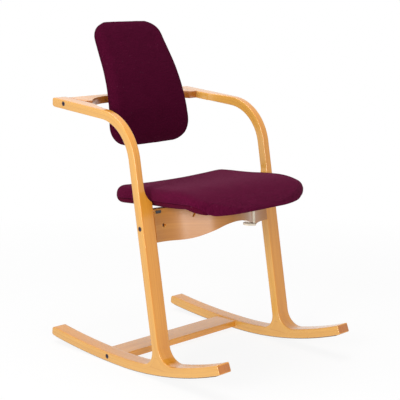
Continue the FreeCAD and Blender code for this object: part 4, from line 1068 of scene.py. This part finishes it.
def puffed(obj, held, cap, pressure):
    # Blows the shell up a little as cloth, with the held points fixed, and limits how far it moves.
    start = [v.co.copy() for v in obj.data.vertices]
    group = obj.vertex_groups.new(name="held")
    group.add(held, 1.0, "REPLACE")
    cloth = obj.modifiers.new("cloth", "CLOTH")
    for key, value in clothSet.items():
        setattr(cloth.settings, key, value)
    cloth.settings.uniform_pressure_force = pressure
    cloth.settings.effector_weights.gravity = 0
    cloth.collision_settings.use_collision = False
    for k in range(1, clothFrames + 1):
        scene.frame_set(k)
    depsgraph = bpy.context.evaluated_depsgraph_get()
    moved = [v.co.copy() for v in obj.evaluated_get(depsgraph).data.vertices]
    obj.modifiers.clear()
    obj.vertex_groups.clear()
    scene.frame_set(1)
    for v, a, b in zip(obj.data.vertices, start, moved):
        shift = b - a
        v.co = a + shift * (cap * mm / (shift.length + cap * mm))
    return obj


def relaxed(obj, held, rounds):
    # Evens out the creases between the drawn sections, in and out by turns so that the form keeps its size.
    mesh = obj.data
    beside = [[] for v in mesh.vertices]
    for edge in mesh.edges:
        a, b = edge.vertices
        beside[a].append(b)
        beside[b].append(a)
    fixed = set(held)
    free = [k for k in range(len(beside)) if k not in fixed]
    spots = [v.co.copy() for v in mesh.vertices]
    for share in shellSet["relax"] * rounds:
        means = [sum((spots[n] for n in beside[k]), Vector()) / len(beside[k]) for k in free]
        for k, mean in zip(free, means):
            spots[k] = spots[k].lerp(mean, share)
    for v, spot in zip(mesh.vertices, spots):
        v.co = spot
    return obj


def rumpled(obj, amount, size):
    # Slight unevenness of the stuffing.
    normals = [v.normal.copy() for v in obj.data.vertices]
    for v, n in zip(obj.data.vertices, normals):
        v.co += n * (noise.noise(v.co / (size * mm)) * amount * mm)
    return obj


def finer(obj):
    smooth = obj.modifiers.new("finer", "SUBSURF")
    smooth.levels = 1
    smooth.render_levels = 1
    settle(obj)
    tidyMesh(obj.data, shellSet["sharp"])
    return obj


def shell(name, rings, toWorld, material):
    points, weave = shellRows(rings)
    faces = tube(len(rings), len(rings[0][1]))
    return makeObject(name, [toWorld(*p) for p in points], faces, [material], None, {"weave": weave},
                      shellSet["sharp"])


def cushion(name, rings, toWorld, material, s):
    # The points beside the seam and inside it are held.
    obj = shell(name, rings, toWorld, material)
    beside = shellSet["held"]
    count, last = len(rings[0][1]), 2 * s["sideSteps"] + s["topSteps"] - beside
    held = [r * count + k for r in range(len(rings)) for k in range(count) if k < beside or k > last]
    puffed(relaxed(obj, held, s["relax"]), held, s["cap"], s["pressure"])
    return finer(rumpled(obj, *s["uneven"]))


seatCushion = cushion("seatCushion", seatRings(True), onSeat, seatFabric, seatSet)
place(seatCushion, "seat", "seat_fabric", "seat_cushion")
seatBase = shell("seatBaseCover", seatRings(False), onSeat, baseFabric)
finer(rumpled(seatBase, *seatSet["baseUneven"]))
place(seatBase, "seat", "seat_fabric", "seat_base_cover")
print("stage: seat cushion and base cover")


backSet = {
    "below": 31.0, "above": 347.0, "lowHalf": 156.0, "topHalf": 122.0, "lowCorner": 67.0, "topCorner": 48.0,
    "lowNose": 41.0, "topNose": 59.0, "front": 18.0, "crown": 3.0, "rear": 21.0, "tuck": 13.0, "split": 5.0,
    "groove": 1.4, "grooveWidth": 4.0, "lumbarY": 198.0, "lumbarZ": 625.0, "radius": 430.0, "tilt": 29.0,
    "step": 5.0, "tip": 0.6, "sideSteps": 12, "topSteps": 48, "closeSteps": 24, "cap": 2.2, "pressure": 4.0,
    "ease": 8, "relax": 10, "uneven": (0.4, 52), "coverUneven": (0.4, 55),
    "windowHalf": 41, "windowDeep": 60, "windowRun": (-133, 78), "coverSharp": 60}
bendRun = backSet["radius"] * math.radians(backSet["tilt"])


def onSpine(x, run, behind):
    s = backSet
    tilt = min(run, bendRun) / s["radius"]
    extra = max(0, run - bendRun)
    y = s["lumbarY"] + s["radius"] * (1 - math.cos(tilt)) + extra * math.sin(tilt)
    z = s["lumbarZ"] + s["radius"] * math.sin(tilt) + extra * math.cos(tilt)
    return Vector((x, y + behind * math.cos(tilt), z - behind * math.sin(tilt)))


def roundThrough(edge, front, half, rear):
    # Circle through the front corner, the widest point and the rear corner of a section.
    a, b, c = edge ** 2 + front ** 2, half ** 2, edge ** 2 + rear ** 2
    d = 2 * (edge * -rear + half * (rear - front) + edge * front)
    ux = (a * -rear + b * (rear - front) + c * front) / d
    uy = (a * (edge - half) + c * (half - edge)) / d
    return ux, uy, math.hypot(half - ux, uy)


def backRings(front):
    s = backSet
    rings = []
    for run in stationsOf(-s["below"], s["above"], s["step"], s["tip"], s["lowNose"]):
        low, high = run + s["below"], s["above"] - run
        half = s["lowHalf"] + (s["topHalf"] - s["lowHalf"]) * low / (s["above"] + s["below"])
        corner, nose, inside = ((s["lowCorner"], s["lowNose"], low) if low < high else
                                (s["topCorner"], s["topNose"], high))
        half -= drawIn(inside, corner, corner)
        swell = 1 - drawIn(inside, nose, 1)
        face, rear = -s["front"] * swell, s["rear"] * swell
        split = min(s["split"], rear)
        if not front and rear - split < shellSet["thin"]:
            continue
        edge = half - min(s["tuck"], (rear - face) * shellSet["tuckShare"])
        cx, cy, radius = roundThrough(edge, face, half, rear)
        side = sideLine(s, s["sideSteps"], front, split, face if front else rear, split < rear,
                        lambda n: cx + math.sqrt(max(0, radius ** 2 - (n - cy) ** 2)))
        crown = s["crown"] * swell
        ring = ringOf(s, side, edge, lambda x: face - crown * (1 - (x / edge) ** 2) if front else rear, split)
        rings.append((run, [(x, run, n) for x, n in ring]))
    return rings


backCushion = cushion("backrestCushion", backRings(True), onSpine, backFabric, backSet)
place(backCushion, "backrest", "back_fabric", "backrest_cushion")
backCover = shell("backrestRearCover", backRings(False), onSpine, backFabric)
finer(rumpled(backCover, *backSet["coverUneven"]))
wide, deep = backSet["windowHalf"], backSet["windowDeep"]
corners = ((-wide, 0), (wide, 0), (wide, deep), (-wide, deep))
window = [onPost(x, n, t) for t in backSet["windowRun"] for x, n in corners]
windowUv = {"weave": [(p.x, p.z) for p in window]}
cutter = makeObject("window", window, tube(2, 4), [backFabric], None, windowUv)
cutWith(backCover, [cutter], backSet["coverSharp"])
place(backCover, "backrest", "back_fabric", "backrest_rear_cover")
print("stage: backrest cushion and rear cover")


# The other CAD nodes keep their shapes and take a finish
finishOf = {
    "wood_hidden": plyMaterial, "steel": steelMaterial, "dark_steel": darkSteel, "nylon": nylonMaterial,
    "bolt": boltMaterial, "lever_plastic": leverMaterial}
for part in frame["record"]["subparts"]:
    obj = nodes[part["node"]]
    if not obj.hide_render:
        obj.data.materials.clear()
        dark = part["node"] == "barrel_nuts"
        obj.data.materials.append(finishOf["bolt" if dark else part["material_slot"]])
print("stage: finishes on the remaining nodes")


# Studio: pale floor, soft lights, white behind
def areaLight(name, at, target, size, power):
    lamp = bpy.data.lights.new(name, "AREA")
    lamp.shape = "DISK"
    lamp.size = size
    lamp.energy = power
    obj = newObject(name, lamp)
    obj.location = at
    obj.rotation_euler = (Vector(target) - Vector(at)).to_track_quat("-Z", "Y").to_euler()


def crossFade(tree, share, first, second, output):
    both = add(tree, "ShaderNodeMixShader")
    link(tree, share, both.inputs[0])
    join(tree, (first, 0, both, 1), (second, 0, both, 2), (both, 0, tree.nodes[output], "Surface"))


lightSet = {
    "key": ((-3.2, -1.0, 1.4), 1.6, 73), "fill": ((-1.65, -2.7, 1.05), 0.8, 29),
    "top": ((-0.2, 0.4, 3.2), 2.4, 62), "aim": (0, 0, 0.45), "ambient": 0.36, "floor": 0.82, "glow": 0.88,
    "near": 0.9, "far": 2.0, "floorHalf": 9, "floorRough": 0.9, "floorLevel": -0.0002}
for name in ("key", "fill", "top"):
    at, size, power = lightSet[name]
    areaLight(name, at, lightSet["aim"], size, power)
world = bpy.data.worlds.new("studio")
scene.world = world
world.use_nodes = True
tree = world.node_tree
rays = add(tree, "ShaderNodeLightPath")
seen = sums(tree, "MAXIMUM", rays.outputs["Is Camera Ray"], rays.outputs["Is Transmission Ray"])
seen = sums(tree, "MAXIMUM", seen, rays.outputs["Is Glossy Ray"])
soft = tree.nodes["Background"]
soft.inputs["Color"].default_value = (1, 1, 1, 1)
soft.inputs["Strength"].default_value = lightSet["ambient"]
white = add(tree, "ShaderNodeBackground", Color=(1, 1, 1, 1), Strength=1.0)
crossFade(tree, seen, soft, white, "World Output")

floorMat, tree, shader = newMaterial("floor")
shader.inputs["Base Color"].default_value = (lightSet["floor"],) * 3 + (1,)
shader.inputs["Roughness"].default_value = lightSet["floorRough"]
# Away from the chair the floor turns into the same white as the background.
spot = add(tree, "ShaderNodeVectorMath", operation="LENGTH")
link(tree, add(tree, "ShaderNodeTexCoord").outputs["Object"], spot.inputs[0])
share = spread(tree, spot.outputs["Value"], lightSet["near"], lightSet["far"], lightSet["glow"], 1.0)
glow = add(tree, "ShaderNodeEmission", Color=(1, 1, 1, 1), Strength=1.0)
crossFade(tree, share, shader, glow, "Material Output")
floorMesh = bpy.data.meshes.new("floor")
wide = lightSet["floorHalf"]
corners = [(x * wide, y * wide, 0) for x, y in ((-1, -1), (1, -1), (1, 1), (-1, 1))]
floorMesh.from_pydata(corners, [], [(0, 1, 2, 3)])
floorMesh.materials.append(floorMat)
floor = newObject("floor", floorMesh)
floor.location.z = lightSet["floorLevel"]

cameraSet = {"at": (-2.1886, -2.2693, 1.0630), "yaw": 44.108, "pitch": 11.042, "lens": 100.52, "sensor": 36.0}
camera = bpy.data.cameras.new("camera")
camera.lens = cameraSet["lens"]
camera.sensor_width = cameraSet["sensor"]
eye = newObject("camera", camera)
eye.location = cameraSet["at"]
yaw, pitch = math.radians(cameraSet["yaw"]), math.radians(cameraSet["pitch"])
ahead = Vector((math.sin(yaw) * math.cos(pitch), math.cos(yaw) * math.cos(pitch), -math.sin(pitch)))
eye.rotation_euler = ahead.to_track_quat("-Z", "Y").to_euler()
scene.camera = eye
scene.view_settings.view_transform = "Standard"
print("stage: studio and camera")
